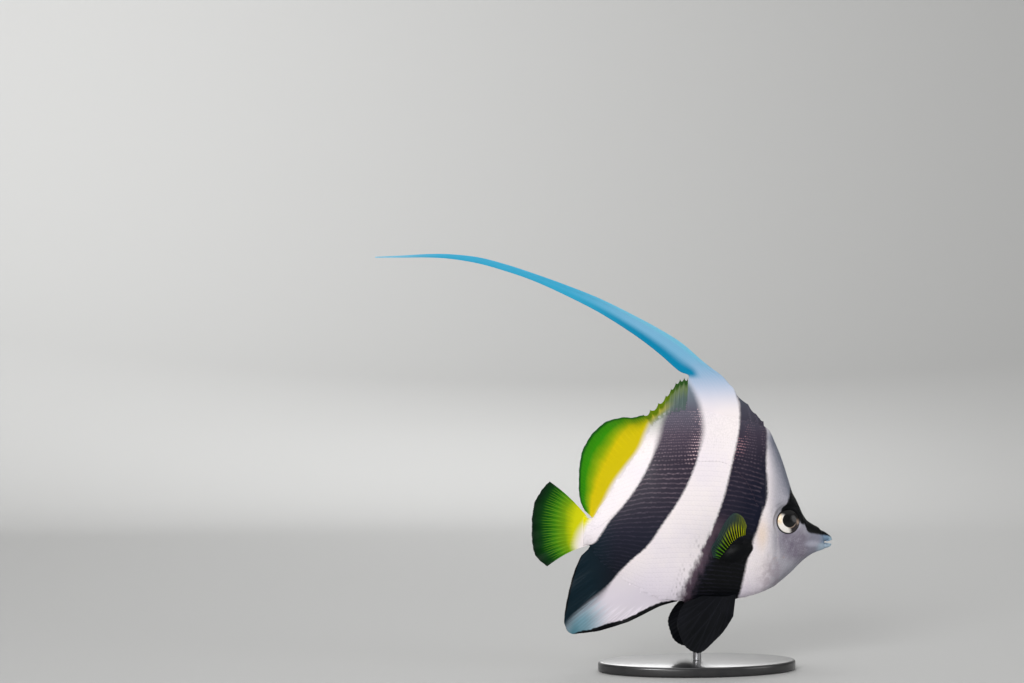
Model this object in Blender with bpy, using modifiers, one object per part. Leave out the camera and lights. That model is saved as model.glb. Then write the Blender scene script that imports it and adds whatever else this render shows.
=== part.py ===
"""Bannerfish, life size, swimming level, held up by a flat base and one rod.

+X is towards the snout, +Y towards the fish's left side and +Z up. The origin is
the centre of the underside of the base. Sizes below are in millimetres, and the
meshes are made in metres.
"""

import math

import bmesh
import bpy
from mathutils import Matrix, Vector

MM = 0.001
GAP = 0.3                      # left open between pieces that touch
UNDERSIDE = 9.0                # height of the base's underside in the outlines below

# The flesh in the middle plane, from the root of the tail fin (rung 0) to the end
# of the snout (rung 23). Each rung runs from a point of the back to one of the belly.
BACK = [(-69.4, 102.1), (-63.9, 100.6), (-59.1, 107.4), (-51.2, 118.0), (-42.1, 131.1),
        (-33.0, 144.8), (-25.7, 156.1), (-13.5, 163.3), (1.8, 164.4), (15.3, 161.9),
        (27.6, 158.9), (36.9, 156.4), (43.7, 152.8), (48.0, 144.3), (51.7, 135.3),
        (54.8, 125.6), (57.6, 116.5), (61.0, 109.8), (63.9, 103.2), (66.9, 98.6),
        (70.9, 95.7), (75.3, 93.4), (79.0, 91.2), (81.5, 89.4)]
BELLY = [(-69.4, 84.2), (-64.5, 84.5), (-57.3, 75.7), (-46.9, 67.2), (-34.8, 58.7),
         (-22.6, 53.1), (-10.4, 50.9), (0.0, 51.0), (10.4, 51.1), (19.0, 51.3),
         (27.6, 52.4), (35.0, 54.1), (38.7, 55.2), (46.1, 58.4), (52.3, 62.9),
         (57.9, 67.6), (62.8, 72.4), (67.2, 76.0), (70.9, 78.3), (74.0, 79.5),
         (76.5, 80.3), (78.4, 81.0), (80.5, 81.5), (81.5, 81.8)]
HALF_WIDTH = [3.2, 4.4, 5.4, 6.6, 8.0, 9.5, 11.0, 12.5, 13.5, 14.0, 13.9, 13.5,
              12.9, 12.0, 10.9, 9.7, 8.5, 7.1, 6.0, 5.2, 4.5, 3.8, 3.3, 2.9]
RUNG_STEPS = 3                 # rings of the mesh from one rung to the next
RING_STEPS = 10                # faces from back to belly on each side

# Shape of the sections: (rung, value) pairs, eased from one to the next.
WAIST = [(0, 0.50), (4, 0.48), (9, 0.56), (12, 0.52), (16, 0.45), (23, 0.50)]
BACK_TAPER = [(0, 0.55), (1.5, 0.85), (4, 1.0), (11, 0.95), (13, 0.6), (23, 0.5)]
BELLY_TAPER = [(0, 0.55), (1.5, 0.85), (4, 1.0), (7.5, 0.6), (23, 0.5)]
BACK_RIDGE = [(0, 0.4), (1, 1.3), (11.6, 1.3), (13, 0.3), (23, 0.3)]
BELLY_RIDGE = [(0, 0.4), (1, 1.3), (6, 1.2), (7.5, 0.3), (23, 0.3)]

# Rear edge of the gill cover, carried on to nape and throat, and how far the
# cover stands proud of the flank behind it.
GILL_LINE = [(47.5, 160.0), (43.5, 148.0), (41.2, 138.0), (39.9, 129.3), (39.1, 111.4),
             (36.4, 102.4), (33.8, 93.5), (31.7, 86.9), (30.4, 81.0), (29.3, 75.0),
             (28.9, 66.7), (31.1, 60.2), (36.0, 54.8), (42.0, 48.0)]
GILL_STEP = 0.8
GILL_RAMP = 14.0               # length over which the cover rises to its edge
GILL_TOP = 132.0               # height at which the step has died out
GILL_FADE = 8.0
LINE_STEPS = 3                 # points of a cut from one of its named points to the next
STALK_LINE = [(-53.0, 121.0), (-49.0, 64.0)]
SNOUT_END = 77.3
REACH = 60.0                   # half depth of the cutting slabs

# Eye: centre of the lens plane on the right side, ball radius in that plane and
# across it, how deep the ball's centre lies, and how far it looks forward and up.
EYE = (53.8, -9.1, 98.2)
EYE_RADIUS = 8.0
EYE_DEPTH_RADIUS = 4.0
EYE_SUNK = 1.8
EYE_FORWARD = math.radians(6)
EYE_UP = math.radians(4)
NOSTRILS = [(65.2, 99.2, 0.62), (67.0, 96.9, 0.52)]      # x, z, radius

# Jaws from the end of the snout to the lips: (x, lower z, upper z, half width).
UPPER_JAW = [(77.6, 85.1, 92.0, 3.1), (78.8, 85.4, 91.2, 3.1), (80.3, 85.8, 90.2, 2.9),
             (81.6, 86.1, 89.2, 2.5), (82.5, 86.4, 88.3, 1.9), (83.0, 86.9, 87.7, 0.9)]
LOWER_JAW = [(77.6, 80.8, 84.7, 3.0), (78.8, 81.0, 84.5, 3.0), (80.2, 81.3, 84.2, 2.8),
             (81.4, 81.9, 84.1, 2.4), (82.3, 82.5, 83.9, 1.7), (82.7, 82.9, 83.6, 0.8)]
UPPER_LIP, LOWER_LIP = (85.6, 86.6), (84.1, 83.5)        # z at the corner and at the tip
LIP_RADIUS = 0.62
LIP_INSET = 0.25               # how far the lip's middle line lies inside the jaw's side
JAW_SIDES, LIP_STEPS = 14, 10

# Fins of the middle plane: one row for a ray, (rung of its root, x and z of its end).
SPINES_FRONT = [(11.75, 40.8, 158.2), (11.45, 37.4, 161.6), (11.0, 33.6, 165.4),
                (10.55, 30.0, 170.0), (10.05, 24.3, 174.3)]
BANNER_ROOT = [(9.98, 23.7, 174.9), (9.5, 19.4, 180.9), (9.0, 15.0, 185.7),
               (8.4, 8.8, 190.2), (7.95, 2.9, 194.6), (7.75, -0.9, 190.9),
               (7.5, -5.0, 185.4)]
SPINES_REAR = [(7.46, -5.6, 184.4), (7.2, -8.6, 184.2), (6.95, -12.0, 182.4),
               (6.7, -15.8, 177.8), (6.45, -20.4, 172.3), (6.15, -27.0, 166.4),
               (5.85, -33.0, 162.4)]
SOFT_DORSAL = [(5.8, -33.7, 162.1), (5.4, -39.0, 160.8), (5.0, -45.7, 160.9),
               (4.55, -55.0, 158.5), (4.1, -62.7, 152.6), (3.65, -68.1, 145.0),
               (3.2, -70.8, 137.4), (2.7, -72.0, 127.8), (2.2, -72.0, 117.8),
               (1.7, -70.9, 110.6), (1.12, -68.6, 105.6)]
ANAL = [(6.05, -12.6, 50.0), (5.6, -23.4, 47.2), (5.15, -34.4, 41.9), (4.75, -44.5, 37.6),
        (4.35, -57.0, 33.9), (4.0, -68.5, 32.2), (3.65, -77.2, 32.2), (3.3, -80.6, 37.2),
        (2.9, -80.6, 44.8), (2.45, -79.0, 53.6), (1.95, -76.6, 63.2), (1.5, -73.9, 71.4),
        (1.08, -70.8, 78.2)]
# Tail fin: share of the stalk's end from top to bottom, then the ray's end.
TAIL = [(0.02, -89.7, 123.1), (0.12, -94.8, 117.5), (0.26, -98.6, 110.6),
        (0.42, -100.3, 101.6), (0.58, -100.4, 93.0), (0.73, -100.0, 84.6),
        (0.87, -97.4, 77.6), (0.98, -91.2, 72.3)]

# The banner behind its root: upper and lower edge, from the notch to the tip.
BANNER_UPPER = [(2.4, 195.2), (-9.5, 205.3), (-23.0, 213.6), (-37.5, 221.3), (-58.5, 231.5),
                (-79.3, 239.7), (-98.6, 246.5), (-115.1, 251.8), (-131.6, 256.0),
                (-148.0, 257.8), (-161.7, 257.9), (-177.0, 257.0), (-193.0, 256.2)]
BANNER_LOWER = [(-5.3, 185.9), (-11.4, 188.7), (-23.0, 198.7), (-37.5, 209.6), (-58.5, 222.8),
                (-79.3, 233.4), (-98.6, 242.0), (-115.1, 247.7), (-131.6, 252.3),
                (-148.0, 255.0), (-161.7, 255.8), (-177.0, 255.7), (-193.0, 255.6)]
BANNER_START, BANNER_SPLIT = 0.04, 5.0      # points of those edges where its lengths begin
BANNER_GAP = 0.015             # the gap between them, in the same measure
BANNER_SWAY = 5.0              # how far the free end drifts to the side
BANNER_HALF = (1.1, 0.35)      # greatest half thickness at the notch and at the tip
BANNER_SECTION = (0.7, 1.0, 0.75, 0.55, 0.4)             # its shares from upper to lower edge
BANNER_STEPS = (16, 24)        # faces along each length

# Paired fins on the right side: points of the root line, then the rays' ends.
PECTORAL_ROOT = [(27.9, -11.4, 85.4), (22.4, -11.6, 84.3), (18.2, -11.8, 81.4),
                 (14.0, -11.8, 76.2)]
PECTORAL_TIPS = [(24.6, -25.0, 97.2), (20.4, -31.5, 102.9), (15.8, -35.5, 105.4),
                 (11.6, -37.5, 104.2), (8.5, -37.0, 100.0), (6.1, -35.5, 94.6),
                 (4.0, -32.5, 89.4), (2.4, -29.0, 84.4), (4.8, -23.0, 78.4)]
PELVIC_ROOT = [(24.4, -3.6, 59.6), (15.0, -3.0, 57.2)]
PELVIC_TIPS = [(19.4, -12.0, 41.8), (13.1, -15.0, 34.0), (6.9, -17.0, 28.1),
               (0.3, -18.0, 22.7), (-5.2, -18.0, 21.3), (-10.8, -17.0, 25.1),
               (-14.0, -15.0, 31.8), (-15.0, -13.0, 38.4), (-13.0, -10.5, 44.4),
               (-8.0, -8.4, 48.4)]

# Half thickness of the fins, at the root, at the edge, and what a ray adds.
MEDIAN_ROOT, PAIRED_ROOT, TAIL_ROOT = 1.15, 1.7, 1.5
FIN_EDGE = 0.26
RAY_RISE = 0.46
SPINE_RISE = 0.62
RAY_START = 0.25               # share of a ray over which it rises out of the root
RAY_FADE = 0.35                # share of its height that it has lost at its end
TAIL_BEND = 1.5                # how far the tail's rays bow upwards

BASE_LENGTH, BASE_DEPTH, BASE_HEIGHT = 120.0, 70.0, 6.0
BASE_BEVEL = 1.5
ROD_RADIUS = 2.5
ROD_TOP = 56.0

COLOURS = {
    "pearl": (0.86, 0.80, 0.80), "grey": (0.55, 0.52, 0.56), "black": (0.02, 0.02, 0.025),
    "charcoal": (0.09, 0.06, 0.08), "yellow": (0.62, 0.66, 0.02), "teal": (0.02, 0.06, 0.07),
    "sky": (0.25, 0.62, 0.80), "lime": (0.45, 0.60, 0.03), "silver": (0.70, 0.68, 0.62),
    "base": (0.03, 0.03, 0.035), "steel": (0.62, 0.62, 0.64),
}


def material(name):
    found = bpy.data.materials.get(name)
    if found:
        return found
    made = bpy.data.materials.new(name)
    made.use_nodes = True
    shader = made.node_tree.nodes["Principled BSDF"]
    shader.inputs["Base Color"].default_value = (*COLOURS[name], 1.0)
    shader.inputs["Roughness"].default_value = 0.3 if name in ("steel", "silver") else 0.5
    shader.inputs["Metallic"].default_value = 1.0 if name == "steel" else 0.0
    return made


def collection(name):
    made = bpy.data.collections.new(name)
    bpy.context.scene.collection.children.link(made)
    return made


def add_object(name, mesh, colour=None):
    """Link a mesh: a coloured piece of the fish, or a cutter if it has no colour."""
    made = bpy.data.objects.new(name, mesh)
    if colour:
        mesh.materials.clear()
        mesh.materials.append(material(colour))
        FISH.objects.link(made)
    else:
        made.hide_render = True
        made.display_type = "WIRE"
        CUTTERS.objects.link(made)
    return made


def ease(share):
    share = min(max(share, 0.0), 1.0)
    return share * share * (3.0 - 2.0 * share)


def eased(pairs, where):
    """Read (place, value) pairs with a smooth run from each to the next."""
    for (start, low), (end, high) in zip(pairs, pairs[1:]):
        if where <= end:
            return low + (high - low) * ease((where - start) / (end - start))
    return pairs[-1][1]


def along(points, where):
    """Smooth curve through points (tuples of numbers), read at a fractional index."""
    last = len(points) - 1
    where = min(max(where, 0.0), last)
    index = min(int(where), last - 1)
    share = where - index
    before, start, end, after = (Vector(points[min(max(k, 0), last)])
                                 for k in range(index - 1, index + 3))
    out, back = (end - before) * 0.5, (after - start) * 0.5
    cube, square = share ** 3, share ** 2
    return (start * (2 * cube - 3 * square + 1) + out * (cube - 2 * square + share)
            + end * (3 * square - 2 * cube) + back * (cube - square))


def gill_x(height):
    """Rearmost x of the gill cover at a height."""
    for (x0, z0), (x1, z1) in zip(GILL_LINE, GILL_LINE[1:]):
        if z1 <= height <= z0:
            return x0 + (x1 - x0) * (z0 - height) / (z0 - z1)
    return GILL_LINE[0][0] if height > GILL_LINE[0][1] else GILL_LINE[-1][0]


def gill_swell(x, height):
    """How far the gill cover stands out from the plain body at a point of the side."""
    rise = ease((gill_x(height) + GILL_RAMP - x) / GILL_RAMP)
    return GILL_STEP * rise * ease((GILL_TOP - height) / GILL_FADE)


def body_point(rung, angle, side, grow=0.0, gill=False):
    """Point of the skin: angle runs from 0 on the back to pi on the belly."""
    back = Vector(tuple(along(BACK, rung)))
    belly = Vector(tuple(along(BELLY, rung)))
    down = (belly - back).normalized()
    back, belly = back - down * grow, belly + down * grow
    waist, cosine = eased(WAIST, rung), math.cos(angle)
    upper = cosine >= 0.0
    share = waist * (1.0 - cosine) if upper else waist - (1.0 - waist) * cosine
    ridge = eased(BACK_RIDGE if upper else BELLY_RIDGE, rung)
    taper = eased(BACK_TAPER if upper else BELLY_TAPER, rung)
    width = along([(w, 0.0) for w in HALF_WIDTH], rung)[0]
    out = ridge + (width - ridge) * abs(math.sin(angle)) ** (2.0 * taper)
    x, z = back.lerp(belly, share)
    if gill:
        out += gill_swell(x, z) * math.sin(angle)
    return Vector((x, side * (out + grow), z))


def mesh_from(name, points, faces):
    mesh = bpy.data.meshes.new(name)
    mesh.from_pydata([tuple(Vector(p) * MM) for p in points], [], faces)
    mesh.update()
    return mesh


def loft(name, rings):
    """Closed skin over rings of equal count, with a flat face at both ends."""
    count = len(rings[0])
    points = [p for ring in rings for p in ring]
    faces = [tuple(reversed(range(count)))]
    for r in range(len(rings) - 1):
        for k in range(count):
            a, b = r * count + k, r * count + (k + 1) % count
            faces.append((a, b, b + count, a + count))
    faces.append(tuple(range(len(points) - count, len(points))))
    mesh = mesh_from(name, points, faces)
    outward(mesh)
    return mesh


def outward(mesh):
    work = bmesh.new()
    work.from_mesh(mesh)
    bmesh.ops.recalc_face_normals(work, faces=work.faces)
    bmesh.ops.triangulate(work, faces=work.faces)
    work.to_mesh(mesh)
    work.free()


def body_loft(name, grow=0.0, gill=False):
    angles = [math.pi * k / RING_STEPS for k in range(RING_STEPS + 1)]
    rings = []
    for step in range((len(BACK) - 1) * RUNG_STEPS + 1):
        rung = step / RUNG_STEPS
        left = [body_point(rung, a, 1, grow, gill) for a in angles]
        right = [body_point(rung, a, -1, grow, gill) for a in reversed(angles)]
        rings.append(left + right)
    return loft(name, rings)


def smooth(line):
    last = len(line) - 1
    return [tuple(along(line, k / LINE_STEPS)) for k in range(last * LINE_STEPS + 1)]


def weld(mesh):
    """Join points that lie on one another, and turn all faces outwards."""
    work = bmesh.new()
    work.from_mesh(mesh)
    bmesh.ops.remove_doubles(work, verts=work.verts, dist=0.01 * MM)
    work.to_mesh(mesh)
    work.free()
    outward(mesh)


def slab(name, outline):
    """Flat outline (x, z) carried through the body from side to side."""
    curve = bpy.data.curves.new(name, "CURVE")
    curve.dimensions = "2D"
    curve.fill_mode = "BOTH"
    curve.extrude = REACH * MM
    spline = curve.splines.new("POLY")
    spline.points.add(len(outline) - 1)
    for point, (x, z) in zip(spline.points, outline):
        point.co = (x * MM, z * MM, 0.0, 1.0)
    spline.use_cyclic_u = True
    guide = bpy.data.objects.new(name + "_guide", curve)
    CUTTERS.objects.link(guide)
    mesh = evaluated(guide)
    bpy.data.objects.remove(guide)
    mesh.transform(Matrix.Rotation(math.pi / 2, 4, "X"))
    weld(mesh)
    return add_object(name, mesh)


def moved_line(line, distance):
    """The same open line, shifted to its own left by a distance."""
    shifted = []
    for k, point in enumerate(line):
        before, after = Vector(line[max(k - 1, 0)]), Vector(line[min(k + 1, len(line) - 1)])
        along_line = (after - before).normalized()
        shifted.append(tuple(Vector(point) + Vector((-along_line.y, along_line.x)) * distance))
    return shifted


def evaluated(item):
    graph = bpy.context.evaluated_depsgraph_get()
    graph.update()
    return bpy.data.meshes.new_from_object(item.evaluated_get(graph), depsgraph=graph)


def settle(item):
    """Apply the modifiers and keep the largest closed surface."""
    mesh = evaluated(item)
    item.modifiers.clear()
    work = bmesh.new()
    work.from_mesh(mesh)
    pieces, seen = [], set()
    for start in work.faces:
        if start in seen:
            continue
        piece, todo = [], [start]
        seen.add(start)
        while todo:
            face = todo.pop()
            piece.append(face)
            for edge in face.edges:
                for other in edge.link_faces:
                    if other not in seen:
                        seen.add(other)
                        todo.append(other)
        pieces.append(piece)
    pieces.sort(key=lambda piece: sum(f.calc_area() for f in piece))
    loose = [face for piece in pieces[:-1] for face in piece]
    bmesh.ops.delete(work, geom=loose, context="FACES")
    bmesh.ops.triangulate(work, faces=work.faces)
    work.to_mesh(mesh)
    work.free()
    item.data = mesh
    return item


def combine(item, cutters, operation):
    for cutter in cutters:
        step = item.modifiers.new(operation.title(), "BOOLEAN")
        step.operation = operation
        step.object = cutter
        step.solver = "EXACT"
    return settle(item)


def ball(name, radii, place, segments=20):
    """Ellipsoid, its own Y axis lying across the fish, put in place by a matrix."""
    work = bmesh.new()
    bmesh.ops.create_uvsphere(work, u_segments=segments, v_segments=segments // 2, radius=1.0)
    shape = Matrix.Diagonal((radii[0] * MM, radii[1] * MM, radii[2] * MM, 1.0))
    bmesh.ops.transform(work, verts=work.verts, matrix=place @ shape)
    mesh = bpy.data.meshes.new(name)
    work.to_mesh(mesh)
    work.free()
    return mesh


def eye_place(side):
    """Place of an eyeball: side is -1 for the right eye and 1 for the left."""
    turn = Matrix.Rotation(-side * EYE_FORWARD, 4, "Z") @ Matrix.Rotation(side * EYE_UP, 4, "X")
    looks = turn @ Vector((0.0, side, 0.0))
    centre = Vector((EYE[0], -side * EYE[1], EYE[2])) - looks * EYE_SUNK
    return Matrix.Translation(centre * MM) @ turn


def surface_y(x, z):
    """Half width of the body at a point of the side, by search along the rungs."""
    best, found = 1e9, 0.0
    for r in range(10 * len(BACK) - 9):
        for k in range(41):
            point = body_point(r / 10.0, math.pi * k / 40.0, 1)
            away = (point.x - x) ** 2 + (point.z - z) ** 2
            if away < best:
                best, found = away, point.y
    return found


def make_body():
    gill_line = smooth(GILL_LINE)
    ahead = gill_line + [(100.0, 40.0), (100.0, 170.0)]
    behind = STALK_LINE + [(-90.0, 64.0), (-90.0, 121.0)]
    head_zone = slab("head_zone", ahead)
    head_clear = slab("head_clear", moved_line(gill_line, -GAP) + ahead[-2:])
    stalk_zone = slab("stalk_zone", behind)
    stalk_clear = slab("stalk_clear", moved_line(STALK_LINE, GAP) + behind[-2:])
    snout = slab("snout_zone", [(SNOUT_END, 70.0), (SNOUT_END, 100.0), (90.0, 100.0), (90.0, 70.0)])

    head = add_object("head", body_loft("head", gill=True), "grey")
    combine(head, [head_zone], "INTERSECT")
    pits = [snout]
    for side, label in ((-1, "right"), (1, "left")):
        radii = (EYE_RADIUS + GAP, EYE_DEPTH_RADIUS + GAP, EYE_RADIUS + GAP)
        pits.append(add_object("socket_" + label, ball("socket", radii, eye_place(side))))
        for x, z, radius in NOSTRILS:
            place = Matrix.Translation(Vector((x, side * surface_y(x, z), z)) * MM)
            pits.append(add_object("nostril_" + label, ball("nostril", (radius,) * 3, place, 8)))
    combine(head, pits, "DIFFERENCE")

    torso = add_object("torso", body_loft("torso"), "pearl")
    combine(torso, [head_clear, stalk_clear], "DIFFERENCE")
    stalk = add_object("tail_stalk", body_loft("tail_stalk"), "pearl")
    combine(stalk, [stalk_zone], "INTERSECT")


def make_eyes():
    radii = (EYE_RADIUS, EYE_DEPTH_RADIUS, EYE_RADIUS)
    for side, label in ((-1, "right"), (1, "left")):
        add_object("eye_" + label, ball("eye", radii, eye_place(side)), "silver")


def make_jaw(name, stations, lip_z):
    """Half of the mouth: a short loft with a rounded lip round its open edge."""
    rings = []
    for x, low, high, width in stations:
        middle, half = (low + high) / 2, (high - low) / 2
        ring = []
        for k in range(JAW_SIDES):
            angle = 2 * math.pi * k / JAW_SIDES
            ring.append((x, width * math.cos(angle), middle + half * math.sin(angle)))
        rings.append(ring)
    jaw = add_object(name, loft(name, rings), "grey")

    curve = bpy.data.curves.new(name + "_lip", "CURVE")
    curve.dimensions = "3D"
    curve.bevel_depth = LIP_RADIUS * MM
    curve.bevel_resolution = 1
    curve.use_fill_caps = True
    start, tip = stations[1], stations[-1]
    spline = curve.splines.new("POLY")
    spline.points.add(LIP_STEPS)
    for k, point in enumerate(spline.points):
        angle = math.pi * (k / LIP_STEPS - 0.5)
        x = start[0] + (tip[0] - start[0] - LIP_INSET) * math.cos(angle)
        y = (start[3] - LIP_INSET) * math.sin(angle)
        z = lip_z[0] + (lip_z[1] - lip_z[0]) * math.cos(angle)
        point.co = (x * MM, y * MM, z * MM, 1.0)
    guide = bpy.data.objects.new(name + "_guide", curve)
    CUTTERS.objects.link(guide)
    mesh = evaluated(guide)
    bpy.data.objects.remove(guide)
    weld(mesh)
    combine(jaw, [add_object(name + "_lip", mesh)], "UNION")


def thicken(sheet, halves):
    """Give an open sheet its own half thickness at each point, on both sides."""
    thickest = max(halves)
    group = sheet.vertex_groups.new(name="thickness")
    for index, half in enumerate(halves):
        group.add([index], half / thickest, "REPLACE")
    wall = sheet.modifiers.new("Wall", "SOLIDIFY")
    wall.thickness = 2 * thickest * MM
    wall.offset = 0.0
    wall.use_even_offset = False
    wall.vertex_group = "thickness"
    settle(sheet)
    outward(sheet.data)
    return sheet


def fin(name, root, edge, rays, rows, colour, root_half, rise, serrate=0.0, bend=None):
    """Thin fin from a root line to a free edge, its rays standing up as ridges.

    root and edge give a point for a share of the way from the first ray to the
    last. Every second column is a ray; serrate draws the skin between the rays back
    from their tips, and bend moves a point of the sheet off the straight ray.
    """
    columns = 2 * rays - 2
    points, halves = [], []
    for row in range(rows + 1):
        for column in range(columns + 1):
            share, reach = column / columns, row / rows
            on_ray = column % 2 == 0
            start, end = root(share), edge(share)
            if not on_ray:
                end = end - (end - start).normalized() * serrate
            point = start.lerp(end, reach)
            if bend:
                point += bend(reach)
            points.append(point)
            half = FIN_EDGE + (root_half - FIN_EDGE) * (1.0 - reach) ** 3
            if on_ray:
                half += rise * min(1.0, reach / RAY_START) * (1.0 - RAY_FADE * reach)
            halves.append(half)
    faces = []
    for row in range(rows):
        for column in range(columns):
            a = row * (columns + 1) + column
            b = a + columns + 1
            if column % 2 == 0:
                faces += [(a, a + 1, b), (a + 1, b + 1, b)]
            else:
                faces += [(a, a + 1, b + 1), (a, b + 1, b)]
    return thicken(add_object(name, mesh_from(name, points, faces), colour), halves)


def ridge_root(line, rows, lift):
    """Root line of a fin along the back or belly, lifted clear of the flesh."""
    rungs = [(row[0], 0.0) for row in rows]

    def root(share):
        rung = along(rungs, share * (len(rungs) - 1))[0]
        here = along(line, rung)
        step = along(line, rung + 0.05) - along(line, rung - 0.05)
        normal = Vector((-step.y, step.x)).normalized() * lift
        return Vector((here.x + normal.x, 0.0, here.y + normal.y))

    return root


def edge_of(rows):
    ends = [(x, z) for _, x, z in rows]

    def edge(share):
        x, z = along(ends, share * (len(ends) - 1))
        return Vector((x, 0.0, z))

    return edge


def make_median_fins():
    for name, rows, rays, steps, colour, rise, serrate in (
            ("dorsal_fin_front", SPINES_FRONT, 5, 5, "charcoal", SPINE_RISE, 1.0),
            ("banner_base", BANNER_ROOT, 7, 7, "pearl", RAY_RISE, 0.0),
            ("dorsal_fin_rear_spines", SPINES_REAR, 9, 6, "charcoal", SPINE_RISE, 1.6),
            ("dorsal_fin_soft", SOFT_DORSAL, 24, 7, "yellow", RAY_RISE, 0.4)):
        fin(name, ridge_root(BACK, rows, GAP), edge_of(rows), rays, steps, colour,
            MEDIAN_ROOT, rise, serrate)
    fin("anal_fin", ridge_root(BELLY, ANAL, -GAP), edge_of(ANAL), 21, 7, "teal",
        MEDIAN_ROOT, RAY_RISE, 0.4)

    shares = [(share, 0.0) for share, _, _ in TAIL]
    top, bottom = Vector(BACK[0]), Vector(BELLY[0])

    def tail_root(share):
        x, z = top.lerp(bottom, along(shares, share * (len(shares) - 1))[0])
        return Vector((x - GAP, 0.0, z))

    def tail_bend(reach):
        return Vector((0.0, 0.0, TAIL_BEND * math.sin(math.pi * reach)))

    fin("tail_fin", tail_root, edge_of(TAIL), 17, 7, "lime", TAIL_ROOT, RAY_RISE, 0.4, tail_bend)


def make_banner():
    """The long fourth spine's streamer, in two lengths: stiff leading edge above."""
    last = len(BANNER_UPPER) - 1
    across = len(BANNER_SECTION) - 1

    def ribbon(name, start, end, steps):
        points, halves = [], []
        for step in range(steps + 1):
            where = start + (end - start) * step / steps
            upper, lower = along(BANNER_UPPER, where), along(BANNER_LOWER, where)
            drift = BANNER_SWAY * (where / last) ** 2
            thick = BANNER_HALF[0] + (BANNER_HALF[1] - BANNER_HALF[0]) * where / last
            for k in range(across + 1):
                x, z = upper.lerp(lower, k / across)
                points.append(Vector((x, drift, z)))
                halves.append(max(thick * BANNER_SECTION[k], FIN_EDGE))
        faces = []
        for step in range(steps):
            for k in range(across):
                a = step * (across + 1) + k
                b = a + across + 1
                faces += [(a, a + 1, b + 1), (a, b + 1, b)]
        thicken(add_object(name, mesh_from(name, points, faces), "sky"), halves)

    ribbon("banner_middle", BANNER_START, BANNER_SPLIT - BANNER_GAP, BANNER_STEPS[0])
    ribbon("banner_tip", BANNER_SPLIT, last, BANNER_STEPS[1])


def make_paired_fins(clear):
    for side, label in ((-1, "right"), (1, "left")):
        for kind, roots, tips, rays, steps, colour, sag in (
                ("pectoral_fin_", PECTORAL_ROOT, PECTORAL_TIPS, 15, 7, "lime", 2.5),
                ("pelvic_fin_", PELVIC_ROOT, PELVIC_TIPS, 11, 8, "black", 0.0)):
            flip = Vector((1.0, -side, 1.0))

            def root(share):
                return along(roots, share * (len(roots) - 1)) * flip

            def edge(share):
                return along(tips, share * (len(tips) - 1)) * flip

            def bow(reach):
                return Vector((0.0, side * sag * math.sin(math.pi * reach), 0.0))

            made = fin(kind + label, root, edge, rays, steps, colour, PAIRED_ROOT,
                       RAY_RISE, 0.3, bow)
            combine(made, [clear], "DIFFERENCE")


def make_stand(clear):
    work = bmesh.new()
    bmesh.ops.create_cone(work, cap_ends=True, segments=48, radius1=1.0, radius2=1.0, depth=1.0)
    size = Matrix.Diagonal((BASE_LENGTH / 2 * MM, BASE_DEPTH / 2 * MM, BASE_HEIGHT * MM, 1.0))
    lift = Matrix.Translation((0.0, 0.0, (UNDERSIDE + BASE_HEIGHT / 2) * MM))
    bmesh.ops.transform(work, verts=work.verts, matrix=lift @ size)
    mesh = bpy.data.meshes.new("stand_base")
    work.to_mesh(mesh)
    work.free()
    base = add_object("stand_base", mesh, "base")
    edge = base.modifiers.new("Edge", "BEVEL")
    edge.width = BASE_BEVEL * MM
    edge.segments = 2
    edge.limit_method = "ANGLE"
    edge.angle_limit = math.radians(60)
    settle(base)

    low = UNDERSIDE + BASE_HEIGHT + GAP
    work = bmesh.new()
    bmesh.ops.create_cone(work, cap_ends=True, segments=24, radius1=ROD_RADIUS * MM,
                          radius2=ROD_RADIUS * MM, depth=(ROD_TOP - low) * MM)
    bmesh.ops.translate(work, verts=work.verts, vec=(0.0, 0.0, (ROD_TOP + low) / 2 * MM))
    mesh = bpy.data.meshes.new("stand_rod")
    work.to_mesh(mesh)
    work.free()
    rod = add_object("stand_rod", mesh, "steel")
    combine(rod, [clear], "DIFFERENCE")


for old in list(bpy.data.objects):
    bpy.data.objects.remove(old)
FISH = collection("Bannerfish")
CUTTERS = collection("Cutters")

make_body()
make_eyes()
make_jaw("upper_jaw", UPPER_JAW, UPPER_LIP)
make_jaw("lower_jaw", LOWER_JAW, LOWER_LIP)
make_median_fins()
make_banner()
grown = add_object("body_clearance", body_loft("body_clearance", grow=GAP))
make_paired_fins(grown)
make_stand(grown)
for item in FISH.objects:
    item.data.transform(Matrix.Translation((0.0, 0.0, -UNDERSIDE * MM)))
    item.data.shade_smooth()
    item.data.set_sharp_from_angle(angle=math.radians(40))
print("bannerfish:", len(FISH.objects), "pieces,",
      sum(len(item.data.polygons) for item in FISH.objects), "faces")
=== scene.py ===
import math

import bmesh
import bpy
import numpy as np
from mathutils import Matrix, Vector
from mathutils.bvhtree import BVHTree


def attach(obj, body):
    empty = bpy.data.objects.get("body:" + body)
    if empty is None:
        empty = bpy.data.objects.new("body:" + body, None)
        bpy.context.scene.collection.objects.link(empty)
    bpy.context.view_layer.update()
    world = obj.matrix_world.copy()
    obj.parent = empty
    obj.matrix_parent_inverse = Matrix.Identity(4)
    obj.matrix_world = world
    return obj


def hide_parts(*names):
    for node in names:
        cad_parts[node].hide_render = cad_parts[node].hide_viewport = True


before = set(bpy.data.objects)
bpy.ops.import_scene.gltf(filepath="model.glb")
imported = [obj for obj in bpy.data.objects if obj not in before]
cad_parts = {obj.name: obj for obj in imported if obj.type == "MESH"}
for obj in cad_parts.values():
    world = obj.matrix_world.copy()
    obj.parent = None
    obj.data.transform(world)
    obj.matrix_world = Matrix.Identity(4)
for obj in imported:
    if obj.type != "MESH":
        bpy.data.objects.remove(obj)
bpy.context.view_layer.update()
print("bannerfish: frame loaded,", len(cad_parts), "nodes")

mm = 0.001
underside = 9.0        # the outlines below are measured from 9 mm under the base

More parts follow.
